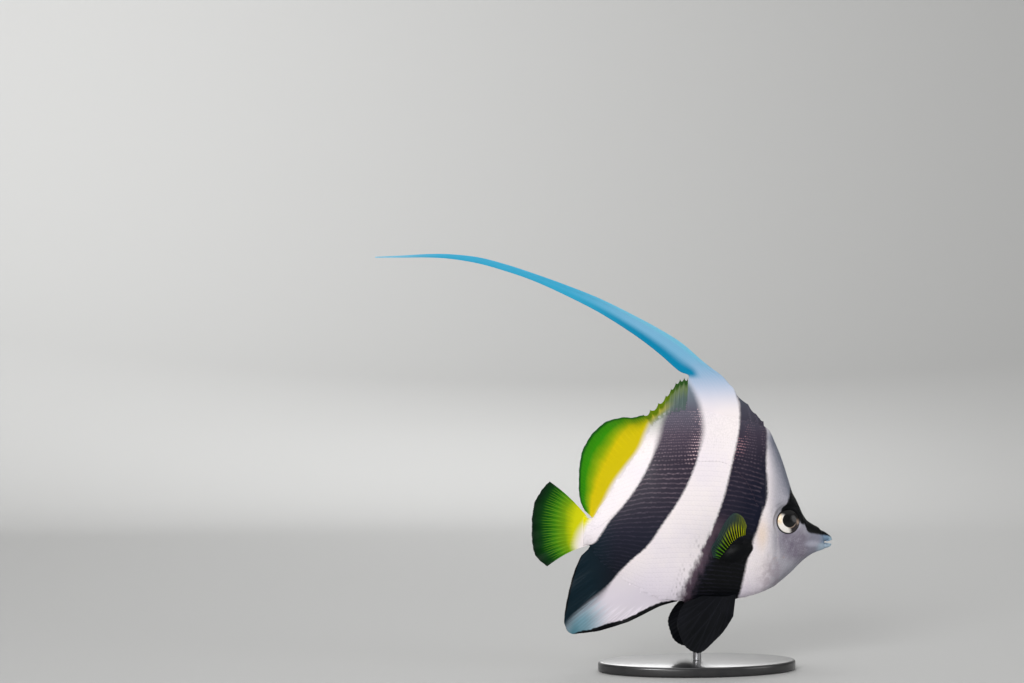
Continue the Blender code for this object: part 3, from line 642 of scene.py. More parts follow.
back, belly = flesh["back"], flesh["belly"]
fins = {
    "frontSpines": medianFin("front_spines", frontSpines, back, -finSunk, "dark_fin",
                             "dorsal_fin_front"),
    "rearSpines": medianFin("rear_spines", rearSpines, back, -finSunk, "yellow_fin",
                            "dorsal_fin_rear_spines"),
    "softDorsal": medianFin("soft_dorsal", softDorsal, back, -finSunk, "yellow_fin",
                            "dorsal_fin_soft"),
    "anal": medianFin("anal_fin_sheet", analFin, belly, finSunk, "dark_fin", "anal_fin"),
    "tail": medianFin("tail_fin_sheet", tailFin, None, tailSunk, "yellow_fin", "tail_fin"),
    "banner": makeBanner(),
}
for side, label in ((-1, "right"), (1, "left")):
    fins["pectoral" + label] = pairedFin("pectoral_sheet_" + label, pectoral, side,
                                         "clear_fin", "pectoral_fin_" + label)
    fins["pelvic" + label] = pairedFin("pelvic_sheet_" + label, pelvic, side,
                                       "dark_fin", "pelvic_fin_" + label)
print("bannerfish: fins,", sum(len(f.data.polygons) for f in fins.values()), "faces")


# Eyes

def makeEye(side, label):
    around, deep = eye["faces"]
    centre, looks, across, up = (np.array(v) for v in eyeFrame())
    turn = np.linspace(0, 2 * math.pi, around, endpoint=False)
    fall = np.linspace(0, math.pi, deep + 1)[1:-1]
    span = np.sin(fall)[:, None]
    x = eye["radius"] * span * np.cos(turn)
    z = eye["radius"] * span * np.sin(turn)
    out = np.broadcast_to(eye["depth"] * np.cos(fall)[:, None], x.shape)
    ring = centre + x[..., None] * across + z[..., None] * up + out[..., None] * looks
    rows = ring.shape[0]
    points = np.concatenate([ring.reshape(-1, 3), [centre + looks * eye["depth"]],
                             [centre - looks * eye["depth"]]])
    front, rear = rows * around, rows * around + 1
    faces = tubeFaces(rows, around)[:-2]
    for k in range(around):
        after = (k + 1) % around
        faces.append((after, k, front))
        faces.append(((rows - 1) * around + k, (rows - 1) * around + after, rear))
    points = points * np.array([1.0, -side, 1.0])
    piece = meshPiece("eyeball_" + label, points, faces)
    seenX = np.append(x.ravel(), [0, 0])
    seenZ = np.append(z.ravel(), [0, 0])
    setFields(piece, seenX=seenX, seenZ=seenZ)
    finishPiece(piece, "eye", "eye_" + label)
    return piece


eyes = [makeEye(-1, "right"), makeEye(1, "left")]
print("bannerfish: eyes")

# Scales

scales = {
    "pitch": 2.9, "step": 2.3, "length": 4.1, "width": 3.8, "lift": 0.05, "sink": 0.10,
    "dome": 0.014, "edge": 0.010, "lineX": -15.0, "lineZ": 105.0, "lineCurve": 0.0025,
    "wave": (0.8, 0.09, 0.05, 0.035), "finReach": 6.5, "finSink": 0.14, "finShrink": 0.4,
    "headCrowd": 0.8, "finCrowd": 0.7,
    "backCrowd": (0.85, 128.0, 26.0),        # how much smaller, from which height, over what run
    "tailCrowd": (0.3, 30.0, 25.0), "bellyCrowd": (0.25, -70.0, 15.0),      # the same, backwards
    "tailEnd": -67.0, "snoutEnd": 69.0, "heights": (28.0, 194.0), "margin": 4.0,
    "gillGap": 1.5, "eyeRing": 11.2, "lobeGap": 0.95, "finFray": 0.7, "tailFray": 2.0,
    "yellowGap": (3.0, 97.0), "dorsalBare": (2.0, -8.0, 120.0), "stalkBare": (-64.0, 86.5),
    "analGap": (2.2, -6.0),                  # from the black edge, and up to which x
    "jitter": (0.07, 0.04), "patch": 0.003, "around": 1.0,
    "gridX": 0.6, "gridZ": 0.4, "soft": (2.0, 3.0), "seed": 7,
    "variation": 0.05, "ownTone": 0.12,      # of size, and of colour from a scale's own root
}


def surfaceTree(pieces):
    # one tree of several meshes, in millimetres
    points, faces, start = [], [], 0
    for piece in pieces:
        mesh = piece.data
        place = np.empty(len(mesh.vertices) * 3, np.float32)
        mesh.vertices.foreach_get("co", place)
        points.append(place.reshape(-1, 3) / mm + np.array([0, 0, underside]))
        faces += [[start + v for v in f.vertices] for f in mesh.polygons]
        start += len(mesh.vertices)
    return BVHTree.FromPolygons(np.concatenate(points).tolist(), faces)


def touch(tree, x, z):
    # the right side's surface at a place in the side view, and which way it faces
    hit, normal = tree.ray_cast(Vector((x, -60.0, z)), Vector((0, 1, 0)))[:2]
    return hit, -normal if normal and normal.y > 0 else normal


def outlineDistance(x, z):
    # how far a point of the side view lies outside the flesh, 0 within it
    where = np.linspace(0, flesh["lastRung"], 260)
    top, low = readCurve(flesh["back"], where), readCurve(flesh["belly"], where)
    ring = np.concatenate([top, low[::-1]])
    away = np.full(x.shape, 1e9)
    inside = np.zeros(x.shape, bool)
    for (x0, z0), (x1, z1) in zip(ring, np.roll(ring, -1, axis=0)):
        along = np.clip(((x - x0) * (x1 - x0) + (z - z0) * (z1 - z0))
                        / max((x1 - x0) ** 2 + (z1 - z0) ** 2, 1e-9), 0, 1)
        away = np.minimum(away, np.hypot(x - x0 - along * (x1 - x0), z - z0 - along * (z1 - z0)))
        crosses = (z0 > z) != (z1 > z)
        if z1 != z0:
            inside ^= crosses & (x < (x1 - x0) * (z - z0) / (z1 - z0) + x0)
    return np.where(inside, 0.0, away)


def crowding(x, z, beyond, onHead):
    # scales are smaller on the head, along the back and belly, and out on the fins
    shares = []
    for key, place in (("backCrowd", z), ("tailCrowd", -x), ("bellyCrowd", -z)):
        amount, start, run = scales[key]
        shares.append(amount * ease((place - start) / run))
    back, tail, low = shares
    if onHead:
        back = np.maximum(back, scales["headCrowd"])
    return 1.0 + back + scales["finCrowd"] * ease(beyond / scales["finReach"]) + tail + low


def softened(values, mask):
    # blurred grid that leaves out the places without a surface
    result = []
    for grid in (values * mask, mask.astype(float)):
        for axis, spread in enumerate(scales["soft"]):
            reach = int(3 * spread)
            bell = np.exp(-0.5 * (np.arange(-reach, reach + 1) / spread) ** 2)
            grid = np.apply_along_axis(np.convolve, axis, grid, bell / bell.sum(), "same")
        result.append(grid)
    return result[0] / np.maximum(result[1], 1e-6)


def scaleRows(xs, zs, smooth, slopeZ, onHead, chance):
    # roots of the scales in rows along the body, or along the head up to the gill edge
    gx, gz = np.meshgrid(xs, zs, indexing="ij")
    crowd = crowding(gx, gz, outlineDistance(gx, gz), onHead)
    lengths = np.sqrt(1 + np.clip(slopeZ, -3, 3) ** 2) * crowd * scales["gridZ"]
    height = np.cumsum(lengths, axis=1)
    lineZ = scales["lineZ"] - scales["lineCurve"] * (xs - scales["lineX"]) ** 2
    for i in range(len(xs)):
        height[i] -= np.interp(lineZ[i], zs, height[i])
    wave, along, upward, slow = scales["wave"]
    height += wave * np.sin(gx * along + gz * upward) * np.sin(gz * slow)
    roots = []
    pitch, step = scales["pitch"], scales["step"]
    alongJitter, upJitter = scales["jitter"]
    for row in range(int(height.min() // pitch), int(height.max() // pitch) + 1):
        z = np.array([np.interp(row * pitch, height[i], zs) for i in range(len(xs))])
        inRange = (z > zs[0] + 0.5) & (z < zs[-1] - 0.5)
        y = np.array([np.interp(z[i], zs, smooth[i]) for i in range(len(xs))])
        crowd = crowding(xs, z, outlineDistance(xs, z), onHead)
        run = np.hypot(np.hypot(np.gradient(z), np.gradient(y)), scales["gridX"]) * crowd
        run = np.cumsum(run)
        run -= np.interp(0.0, xs, run)
        first = math.ceil(run[0] / step)
        for count in range(first, int(run[-1] / step)):
            place = (count + 0.5 * (row % 2)) * step + chance.normal() * alongJitter * step
            x = np.interp(place, run, xs)
            if not np.interp(place, run, inRange):
                continue
            zHere = np.interp(x, xs, z) + chance.normal() * upJitter * pitch
            ahead = x - lineX(gill["line"], zHere)
            if (ahead > scales["gillGap"]) if onHead else (ahead <= 0.0):
                roots.append((x, zHere, place, row * pitch, np.interp(x, xs, crowd),
                              np.interp(x + 1, xs, z) - np.interp(x - 1, xs, z)))
    return roots


def layScales():
    tree = surfaceTree([skin] + [fins[n] for n in ("frontSpines", "rearSpines", "softDorsal",
                                                   "anal", "tail", "banner")])
    chance = np.random.default_rng(scales["seed"])
    xs = np.arange(scales["tailEnd"] - scales["margin"], scales["snoutEnd"], scales["gridX"])
    zs = np.arange(*scales["heights"], scales["gridZ"])
    depth = np.zeros((len(xs), len(zs)))
    for i, x in enumerate(xs):
        for j, z in enumerate(zs):
            hit = touch(tree, x, z)[0]
            depth[i, j] = -hit.y if hit else -1.0
    smooth = softened(depth, depth > -1.0)
    slopeZ = np.gradient(smooth, zs, axis=1)

    roots = []
    for onHead in (False, True):
        roots += scaleRows(xs, zs, smooth, slopeZ, onHead, chance)
    roots = np.array(roots)
    x, z = roots[:, 0], roots[:, 1]
    beyond = outlineDistance(x, z)
    keep = beyond < scales["finReach"] * chance.uniform(scales["finFray"], 1.0, len(roots))
    keep &= np.hypot(x - eye["centre"][0], z - eye["centre"][2]) > scales["eyeRing"]
    keep &= x > scales["tailEnd"] + chance.uniform(0.0, scales["tailFray"], len(roots))
    keep &= lobeSpan(x, z) > scales["lobeGap"]
    # none on the yellow fins, the tail stalk's foot and the anal fin's black edge
    gap, low = scales["yellowGap"]
    keep &= (x > lineX(markings["yellowEdge"], z) + gap) | (z < low)
    out, front, low = scales["dorsalBare"]
    keep &= (beyond < out) | (x > front) | (z < low)
    front, high = scales["stalkBare"]
    keep &= (x > front) | (z > high)
    gap, front = scales["analGap"]
    keep &= (x > front) | (z > np.interp(x, *np.array(markings["analEdge"]).T) + gap)
    result = []
    for (x, z, run, row, crowd, slope), out in zip(roots[keep], beyond[keep]):
        hit, normal = touch(tree, x, z)
        if hit is None:
            continue
        for dx, dz in ((1, 0), (-1, 0), (0, 1), (0, -1)):
            beside = touch(tree, x + dx * scales["around"], z + dz * scales["around"])[1]
            if beside:
                normal += beside
        normal.normalize()
        tail = Vector((-2.0, 0.0, -slope))       # the slope is a rise over 2 mm
        tail = (tail - normal * tail.dot(normal)).normalized()
        out = min(out / scales["finReach"], 1.0)
        size = (1.0 - scales["finShrink"] * out) / crowd
        hit = hit - normal * (scales["sink"] + scales["finSink"] * out)
        result.append((hit, normal, tail, size, (run, row)))
    return result


def scaleShape():
    # one scale lying along +X from its root: a thin domed plate with a rounded rear edge
    places = (0.0, 0.36, 0.7, 0.9, 1.0)
    top = []
    for s in places:
        wide = math.sqrt(1 - (1.5 * (min(s, 0.94) - 0.42)) ** 2) if s < 1.0 else 0.36
        for t in np.linspace(-1, 1, 5):
            middle = (1 - t * t) * math.sin(math.pi * min(0.25 + 0.8 * s, 1.0))
            top.append((s - 0.12 * t * t * s, 0.5 * t * wide,
                        scales["dome"] * middle + scales["edge"], s, t))
    faces = [(i * 5 + j, i * 5 + j + 5, i * 5 + j + 6, i * 5 + j + 1)
             for i in range(4) for j in range(4)]
    faces.append((0, 1, 2, 3, 4, 9, 14, 19, 24, 23, 22, 21, 20, 15, 10, 5))
    points = np.array(top)
    mesh = bpy.data.meshes.new("scale_shape")
    mesh.from_pydata(points[:, :3].tolist(), [], faces)
    shape = addObject("scale_shape", mesh)
    setFields(shape, along=points[:, 3], across=points[:, 4])
    settle(mesh)
    mesh.set_sharp_from_angle(angle=math.radians(60))
    return shape


# Node trees

class Flow:
    # a value that runs through a node tree; sums and products of it add nodes
    def __init__(self, socket):
        self.socket = socket

    def __add__(self, other):
        return calc("ADD", self, other)

    def __sub__(self, other):
        return calc("SUBTRACT", self, other)

    def __rsub__(self, other):
        return calc("SUBTRACT", other, self)

    def __mul__(self, other):
        return calc("MULTIPLY", self, other)

    def __truediv__(self, other):
        return calc("DIVIDE", self, other)

    def __neg__(self):
        return self * -1.0


def addNode(tree, kind, values=None, **settings):
    node = tree.nodes.new(kind)
    for key, value in settings.items():
        setattr(node, key, value)
    for socket, value in (values or {}).items():
        if isinstance(value, Flow):
            tree.links.new(value.socket, node.inputs[socket])
        else:
            node.inputs[socket].default_value = value
    return node


def flow(kind, values, output=0, **settings):
    # what a new node gives, in the tree of the flows that it takes
    tree = next(v.socket.id_data for v in values.values() if isinstance(v, Flow))
    return Flow(addNode(tree, kind, values, **settings).outputs[output])


def calc(operation, *values):
    return flow("ShaderNodeMath", dict(enumerate(values)), operation=operation)


def scaleTree():
    tree = bpy.data.node_groups.new("Scale Coat", "GeometryNodeTree")
    for label, kind in (("Geometry", "Geometry"), ("Scale", "Object"), ("Length", "Float"),
                        ("Width", "Float"), ("Height", "Float"), ("Lift Angle", "Float"),
                        ("Variation", "Float"), ("Patch", "Float"), ("Seed", "Int"),
                        ("Material", "Material")):
        tree.interface.new_socket(label, in_out="INPUT", socket_type="NodeSocket" + kind)
    tree.interface.new_socket("Geometry", in_out="OUTPUT", socket_type="NodeSocketGeometry")
    given = {s.name: Flow(s) for s in tree.nodes.new("NodeGroupInput").outputs}

    def read(name, kind="FLOAT"):
        return Flow(addNode(tree, "GeometryNodeInputNamedAttribute", {"Name": name},
                            data_type=kind).outputs["Attribute"])

    def vector(size, **parts):
        return flow("ShaderNodeVectorMath", {0: flow("ShaderNodeCombineXYZ", parts), "Scale": size},
                    operation="SCALE")
    turn = flow("FunctionNodeAxesToRotation", {"Primary Axis": read("outward", "FLOAT_VECTOR"),
                                               "Secondary Axis": read("lie", "FLOAT_VECTOR")},
                primary_axis="Z", secondary_axis="X")
    tilt = flow("ShaderNodeCombineXYZ", {"Y": given["Lift Angle"]})
    tilted = flow("FunctionNodeRotateRotation", {"Rotation": turn, "Rotate By": tilt},
                  rotation_space="LOCAL")
    vary = flow("FunctionNodeRandomValue", {2: 1.0 - given["Variation"],
                                            3: given["Variation"] + 1.0, "Seed": given["Seed"]}, 1)
    size = vector(read("size") * vary, X=given["Length"], Y=given["Width"], Z=given["Height"])
    shape = flow("GeometryNodeObjectInfo", {"Object": given["Scale"]}, "Geometry")
    placed = flow("GeometryNodeInstanceOnPoints", {"Points": given["Geometry"], "Instance": shape,
                                                   "Rotation": tilted, "Scale": size})
    real = flow("GeometryNodeRealizeInstances", {"Geometry": placed})
    patch = vector(given["Patch"], X=read("along"), Y=read("across"))
    spot = flow("ShaderNodeVectorMath", {0: read("rootSpot", "FLOAT_VECTOR"), 1: patch},
                operation="ADD")
    stored = flow("GeometryNodeStoreNamedAttribute",
                  {"Geometry": real, "Name": "OFBake", "Value": spot},
                  data_type="FLOAT2", domain="CORNER")
    painted = flow("GeometryNodeSetMaterial", {"Geometry": stored, "Material": given["Material"]})
    addNode(tree, "NodeGroupOutput", {0: painted})
    return tree


def growScales(material):
    found = layScales()
    shape, tree = scaleShape(), scaleTree()
    inputs = {item.name: item.identifier for item in tree.interface.items_tree
              if item.in_out == "INPUT"}
    hits, normals, tails, sizes, spots = (np.array(column) for column in zip(*found))
    spots = 0.01 + 0.98 * (spots - spots.min(0)) / (spots.max(0) - spots.min(0))
    chance = np.random.default_rng(scales["seed"] + 1)
    tones = chance.uniform(0.0, 1.0, len(found))
    coats = []
    for side, label in ((-1, "right"), (1, "left")):
        flip = np.array([1.0, -side, 1.0])
        coat = addObject("scales_" + label, bpy.data.meshes.new("scales_" + label))
        place = toScene(hits * flip)
        coat.data.from_pydata(place.tolist(), [], [])
        setFields(coat, outward=normals * flip, lie=tails * flip, rootPlace=place,
                  rootSpot=np.column_stack([spots, 0 * sizes]), size=sizes, tone=tones)
        grow = coat.modifiers.new("Scale Coat", "NODES")
        grow.node_group = tree
        lift = (scales["lift"] + scales["sink"]) / scales["length"]
        for key, value in (("Scale", shape), ("Length", scales["length"] * mm),
                           ("Width", scales["width"] * mm), ("Height", scales["length"] * mm),
                           ("Lift Angle", -lift), ("Variation", scales["variation"]),
                           ("Patch", scales["patch"]), ("Seed", scales["seed"]),
                           ("Material", material)):
            grow[inputs[key]] = value
        mesh = evaluatedMesh(coat)
        coat.modifiers.clear()
        coat.data = mesh
        for extra in ("outward", "lie", "rootSpot", "size"):
            mesh.attributes.remove(mesh.attributes[extra])
        finishPiece(coat, "body_skin")
        coats.append(coat)
    bpy.data.objects.remove(shape)
    return coats


lateralLine = {
    "path": [(33.6, 108.6), (26.6, 123.5), (14.8, 133.6), (0.2, 134.9), (-12.4, 134.3),
             (-24.3, 129.6), (-36.1, 118.9), (-48.0, 107.0), (-59.9, 96.4), (-66.5, 94.0)],
    "count": 62, "share": 0.62, "radius": 0.26, "rise": 0.06,
}


def makeLateralLine(material):
    # a short low tube on each scale of the line
    tree = surfaceTree([skin])
    count = lateralLine["count"]
    fine = readCurve(lateralLine["path"], np.linspace(0, len(lateralLine["path"]) - 1, 400))
    run = np.concatenate([[0], np.cumsum(np.linalg.norm(np.diff(fine, axis=0), axis=1))])

    def onSkin(share):
        x, z = (np.interp(share * run[-1], run, fine[:, k]) for k in (0, 1))
        hit, normal = touch(tree, x, z)
        return np.array(hit + normal * lateralLine["rise"])
    for side, label in ((-1, "right"), (1, "left")):
        points, faces = [], []
        for k in range(count):
            line = np.array([onSkin((k + lateralLine["share"] * t) / count)
                             for t in np.linspace(0, 1, 6)]) * np.array([1.0, -side, 1.0])
            swell = lateralLine["radius"] * np.array([0.35, 0.8, 1.0, 1.0, 0.8, 0.35])
            ring, sides = tubeRings(line, swell, 8)
            faces += [[v + 48 * k for v in face] for face in sides]
            points.append(ring)
        piece = meshPiece("lateral_line_" + label, np.concatenate(points), faces)
        dress(piece, material)
        finishPiece(piece, "body_skin")


# Colours

colours = {             # on a screen, 0 to 255
    "pearl": (243, 234, 234), "lilac": (222, 214, 230), "cream": (236, 212, 186),
    # headGrey, profile and snoutGrey are painted shade on the head
    "headGrey": (168, 166, 175), "profile": (112, 118, 134), "snoutGrey": (126, 126, 140),
    "cheek": (112, 104, 120), "rust": (196, 160, 130), "throat": (150, 134, 144),
    "haze": (150, 158, 146), "black": (5, 7, 10), "lip": (112, 138, 162),
    # chin and lipTip are painted highlights on the jaws
    "jaw": (172, 172, 186), "chin": (168, 186, 200), "lipTip": (170, 196, 208),
    # sky, turquoise and seaBlue are painted blue water light on the white banner
    "sky": (118, 173, 205), "turquoise": (52, 160, 196), "seaBlue": (0, 128, 168),
    # lime, olive, leaf, forest and deep are painted light: the yellow fins going green and dark
    # where the light falls off
    "gold": (210, 190, 0), "lemon": (222, 216, 0), "lime": (140, 166, 0),
    "olive": (88, 128, 4), "leaf": (52, 140, 0), "forest": (10, 74, 10),
    # teal and cyan are painted blue water light on the dark bands towards the tail and on the anal
    # fin's tip
    "deep": (2, 30, 12), "teal": (8, 32, 42), "cyan": (110, 146, 160),
    # membrane is painted light, the dark water seen through a thin fin
    "rayPale": (164, 192, 204), "membrane": (84, 104, 98), "navy": (14, 18, 36),
    # line and lineLow are painted sheen along the scales of the dark bands, rose and blush their
    # painted highlights
    "brown": (84, 68, 80), "line": (158, 136, 148), "lineLow": (92, 88, 112),
    "rose": (206, 150, 158), "blush": (230, 198, 204),
}
markings = {            # edges as x and z, in the side view
    "band1Front": [(42.2, 165.0), (42.4, 152.9), (41.6, 144.5), (40.2, 130.4), (40.4, 122.1),
                   (39.4, 110.5), (36.5, 103.0), (33.8, 93.8), (31.4, 87.1), (30.3, 81.2),
                   (28.2, 75.3), (26.9, 66.7), (25.9, 58.0), (24.7, 50.0), (24.0, 40.0)],
    "band1Rear": [(23.9, 174.5), (26.1, 167.3), (26.0, 160.7), (23.2, 147.1), (19.7, 134.8),
                  (17.2, 125.6), (14.8, 117.4), (11.2, 106.6), (7.4, 96.6), (2.9, 86.5),
                  (-0.2, 79.8), (-3.3, 72.3), (-7.1, 63.8), (-9.5, 58.4), (-10.4, 50.0),
                  (-10.4, 40.0)],
    "band2Front": [(-5.4, 190.0), (-4.9, 183.0), (-2.2, 177.6), (1.8, 167.0), (2.8, 157.0),
                   (0.0, 142.0), (-5.4, 126.9), (-13.2, 111.9), (-22.3, 98.2), (-31.7, 84.4),
                   (-41.9, 74.8), (-49.5, 66.1), (-56.6, 57.4), (-65.4, 48.6), (-70.5, 44.0),
                   (-74.5, 39.6), (-79.5, 31.0)],
    "band2Rear": [(-8.0, 180.0), (-13.6, 168.6), (-20.2, 160.5), (-24.0, 149.5),
                  (-28.1, 137.4), (-36.0, 122.3), (-45.3, 109.4), (-54.4, 99.0),
                  (-60.0, 90.6), (-63.5, 86.0), (-76.0, 83.0), (-105.0, 79.0), (-106.0, 30.0)],
    "yellowEdge": [(-8.8, 175.0), (-13.2, 170.7), (-21.2, 164.6), (-28.4, 158.5),
                   (-31.2, 153.2), (-36.2, 141.8), (-43.9, 131.9), (-51.2, 122.1),
                   (-59.4, 106.9), (-64.4, 100.0), (-105.0, 96.0)],
    "analEdge": [(-77.0, 31.0), (-71.2, 33.6), (-65.1, 34.3), (-59.1, 36.5), (-53.0, 38.1),
                 (-46.9, 39.4), (-40.9, 41.6), (-34.8, 44.7), (-28.7, 47.5), (-22.6, 49.8),
                 (-12.0, 51.6)],
    "stalkEdge": [(-62.0, 106.0), (-65.5, 100.5), (-69.5, 95.0), (-72.0, 89.0), (-73.0, 85.0),
                  (-72.0, 81.0), (-66.0, 76.0)],
    "maskEdge": [(57.0, 122.0), (55.4, 115.8), (53.2, 109.7), (50.0, 106.4), (49.3, 104.8),
                 (52.0, 103.4), (58.6, 102.0), (60.4, 99.6), (61.4, 97.6), (63.0, 96.0),
                 (90.0, 94.0)],
    "snoutEdge": [(64.2, 97.0), (65.4, 94.2), (67.1, 91.5), (71.7, 90.3), (75.8, 89.5),
                  (81.5, 88.4), (83.0, 87.6)],
    "band": [(40, (12, 13, 18)), (70, (18, 21, 32)), (92, (28, 29, 44)), (112, (42, 38, 52)),
             (135, (52, 45, 58)), (150, (76, 66, 80)), (165, (96, 94, 108)),
             (182, (112, 126, 134))],
    "bandFoot": 40.0, "bandHeight": 145.0,
    "wobble": 1.1, "soft": 1.1, "lowSoft": 3.6, "lowJitter": 7.0,
}
spots = {               # centre, half sizes and turn of an oval, and where it fades out and in
    "gill": ((36.5, 91.0), (6.5, 15.0), 0.0, 1.0, 0.0),
    "rust": ((48.0, 77.5), (8.0, 6.0), 0.0, 1.0, 0.2),
    "cheek": ((58.5, 84.5), (17.0, 12.5), -0.5, 1.1, 0.35),
    "throat": ((43.0, 66.0), (13.0, 17.0), 0.0, 1.0, 0.2),
    "streak": ((44.5, 82.0), (6.5, 20.0), 0.0, 1.0, 0.5),
    "jaw": ((70.0, 84.4), (8.0, 3.0), 0.0, 1.0, 0.2),
    "lobe": (lobe["centre"], lobe["half"], lobe["turn"], 1.08, 0.96),
}


def paintOf(colour):
    # a named or screen colour as the linear light that a shader takes
    if isinstance(colour, Flow):
        return colour
    shades = colours[colour] if isinstance(colour, str) else colour
    return tuple(((c / 255 + 0.055) / 1.055) ** 2.4 for c in shades) + (1.0,)


def most(first, second):
    return calc("MAXIMUM", first, second)


def span(x, z, centre, half, turn=0.0):
    # 0 at a centre, 1 on an ellipse round it
    dx, dz = x - centre[0], z - centre[1]
    along = dx * (math.cos(turn) / half[0]) + dz * (math.sin(turn) / half[0])
    over = dz * (math.cos(turn) / half[1]) + dx * (-math.sin(turn) / half[1])
    return calc("SQRT", along * along + over * over)


def spot(x, z, name):
    centre, half, turn, outer, inner = spots[name]
    return ramp(span(x, z, centre, half, turn), outer, inner)


def blend(share, first, second):
    return flow("ShaderNodeMix", {0: share, 6: paintOf(first), 7: paintOf(second)}, 2,
                data_type="RGBA")


def layers(colour, *coats):
    # coats of paint over a colour, each with the share that it covers
    for share, paint in coats:
        colour = blend(share, colour, paint)
    return colour


def ramp(value, low, high, start=0.0, end=1.0):
    return flow("ShaderNodeMapRange", {0: value, 1: low, 2: high, 3: start, 4: end},
                interpolation_type="SMOOTHSTEP")


def noise(place, scale, detail=2.0):
    return flow("ShaderNodeTexNoise", {"Vector": place, "Scale": scale, "Detail": detail})


def streaked(place, height, scale):
    # noise drawn out or pressed along the height
    return noise(flow("ShaderNodeVectorMath", {0: place, 1: (1.0, 1.0, height)},
                      operation="MULTIPLY"), scale)


def stops(value, pairs):
    # colours at places from 0 to 1
    result = flow("ShaderNodeValToRGB", {0: value})
    bar = result.socket.node.color_ramp.elements
    while len(bar) < len(pairs):
        bar.new(0.5)
    for element, (place, colour) in zip(bar, pairs):
        element.position = place
        element.color = paintOf(colour)
    return result


def curveOf(value, pairs, given, wanted):
    # smooth curve through pairs, its ranges of input and output in given and wanted
    (a, b), (c, d) = given, wanted
    result = flow("ShaderNodeFloatCurve", {1: (value - a) / (b - a)})
    mapping = result.socket.node.mapping
    curve = mapping.curves[0]
    pairs = sorted(((u - a) / (b - a), (v - c) / (d - c)) for u, v in pairs)
    curve.points[0].location, curve.points[1].location = pairs[0], pairs[-1]
    for pair in pairs[1:-1]:
        curve.points.new(*pair)
    for point in curve.points:
        point.handle_type = "AUTO_CLAMPED"
    mapping.update()
    return result * (d - c) + c


def edgeAt(height, name):
    # x of a marking's edge at a height, both in millimetres
    return curveOf(height, [(z, x) for x, z in markings[name]], (20.0, 200.0), (-110.0, 100.0))


def darkBands(place, x, z, edgeX):
    # the two bands and their colour, and the masks of the rose and blush painted highlights on the
    # scales and of the freckled scales
    low = markings["soft"]
    soft = ramp(z, 55.0, 95.0, markings["lowSoft"], low)
    streaks = streaked(place, 0.35, 420.0)
    jitter = (streaks - 0.5) * ramp(z, 104.0, 84.0) * markings["lowJitter"]
    inFirst = edgeX + jitter - edgeAt(z, "band1Rear")
    inSecond = edgeX - edgeAt(z, "band2Front")
    one = ramp(edgeX - edgeAt(z, "band1Front"), low, -low) * ramp(inFirst, -soft, soft)
    upper = most(ramp(z, 136.0, 150.0, low, 2.8), ramp(z, 64.0, 50.0, low, 6.0))
    two = ramp(inSecond, upper, -upper) * ramp(edgeX - edgeAt(z, "band2Rear"), -upper, upper)
    foot, height = markings["bandFoot"], markings["bandHeight"]
    dark = layers(
        stops((z - foot) / height, [((at - foot) / height, c) for at, c in markings["band"]]),
        (ramp(inFirst, 6.0, 18.0) * ramp(z, 150.0, 112.0) * one * 0.8, "navy"),
        (one * ramp(z, 96.0, 120.0, 0.2, 0.42), "navy"),
        (ramp(inFirst, 10.0, 1.5) * ramp(z, 108.0, 92.0) * one, "brown"),
        # painted shadow: band 1 turns black low down beside the pectoral fin, in that fin's shade
        (ramp(inFirst, 4.0, 12.0) * ramp(z, 96.0, 86.0) * one, "black"),
        # painted water light: the dark of the bands turns teal towards the tail
        (ramp(x, -46.0, -66.0, 0.0, 0.85), "teal"))
    # painted highlights: rose dots on the upper scales by band 1's rear edge, blush dots by band
    # 2's upper front edge
    rose = (ramp(inFirst, 9.0, 2.0) * ramp(z, 134.0, 144.0) * ramp(z, 160.0, 152.0)
            * one * 0.7)
    blush = (ramp(inSecond, -9.0, -1.0) * ramp(z, 128.0, 142.0) * ramp(z, 172.0, 164.0)
             * ramp(two, 0.0, 0.5) * 0.85)
    plain = edgeX - edgeAt(z, "band1Rear")
    freckle = (ramp(plain, -11.0, -1.0) * ramp(z, 100.0, 80.0) * ramp(plain, 14.0, 8.0)
               * ramp(streaks, 0.35, 0.6))
    return one, two, dark, {"RoseHighlight": rose, "BlushHighlight": blush, "Freckle": freckle}


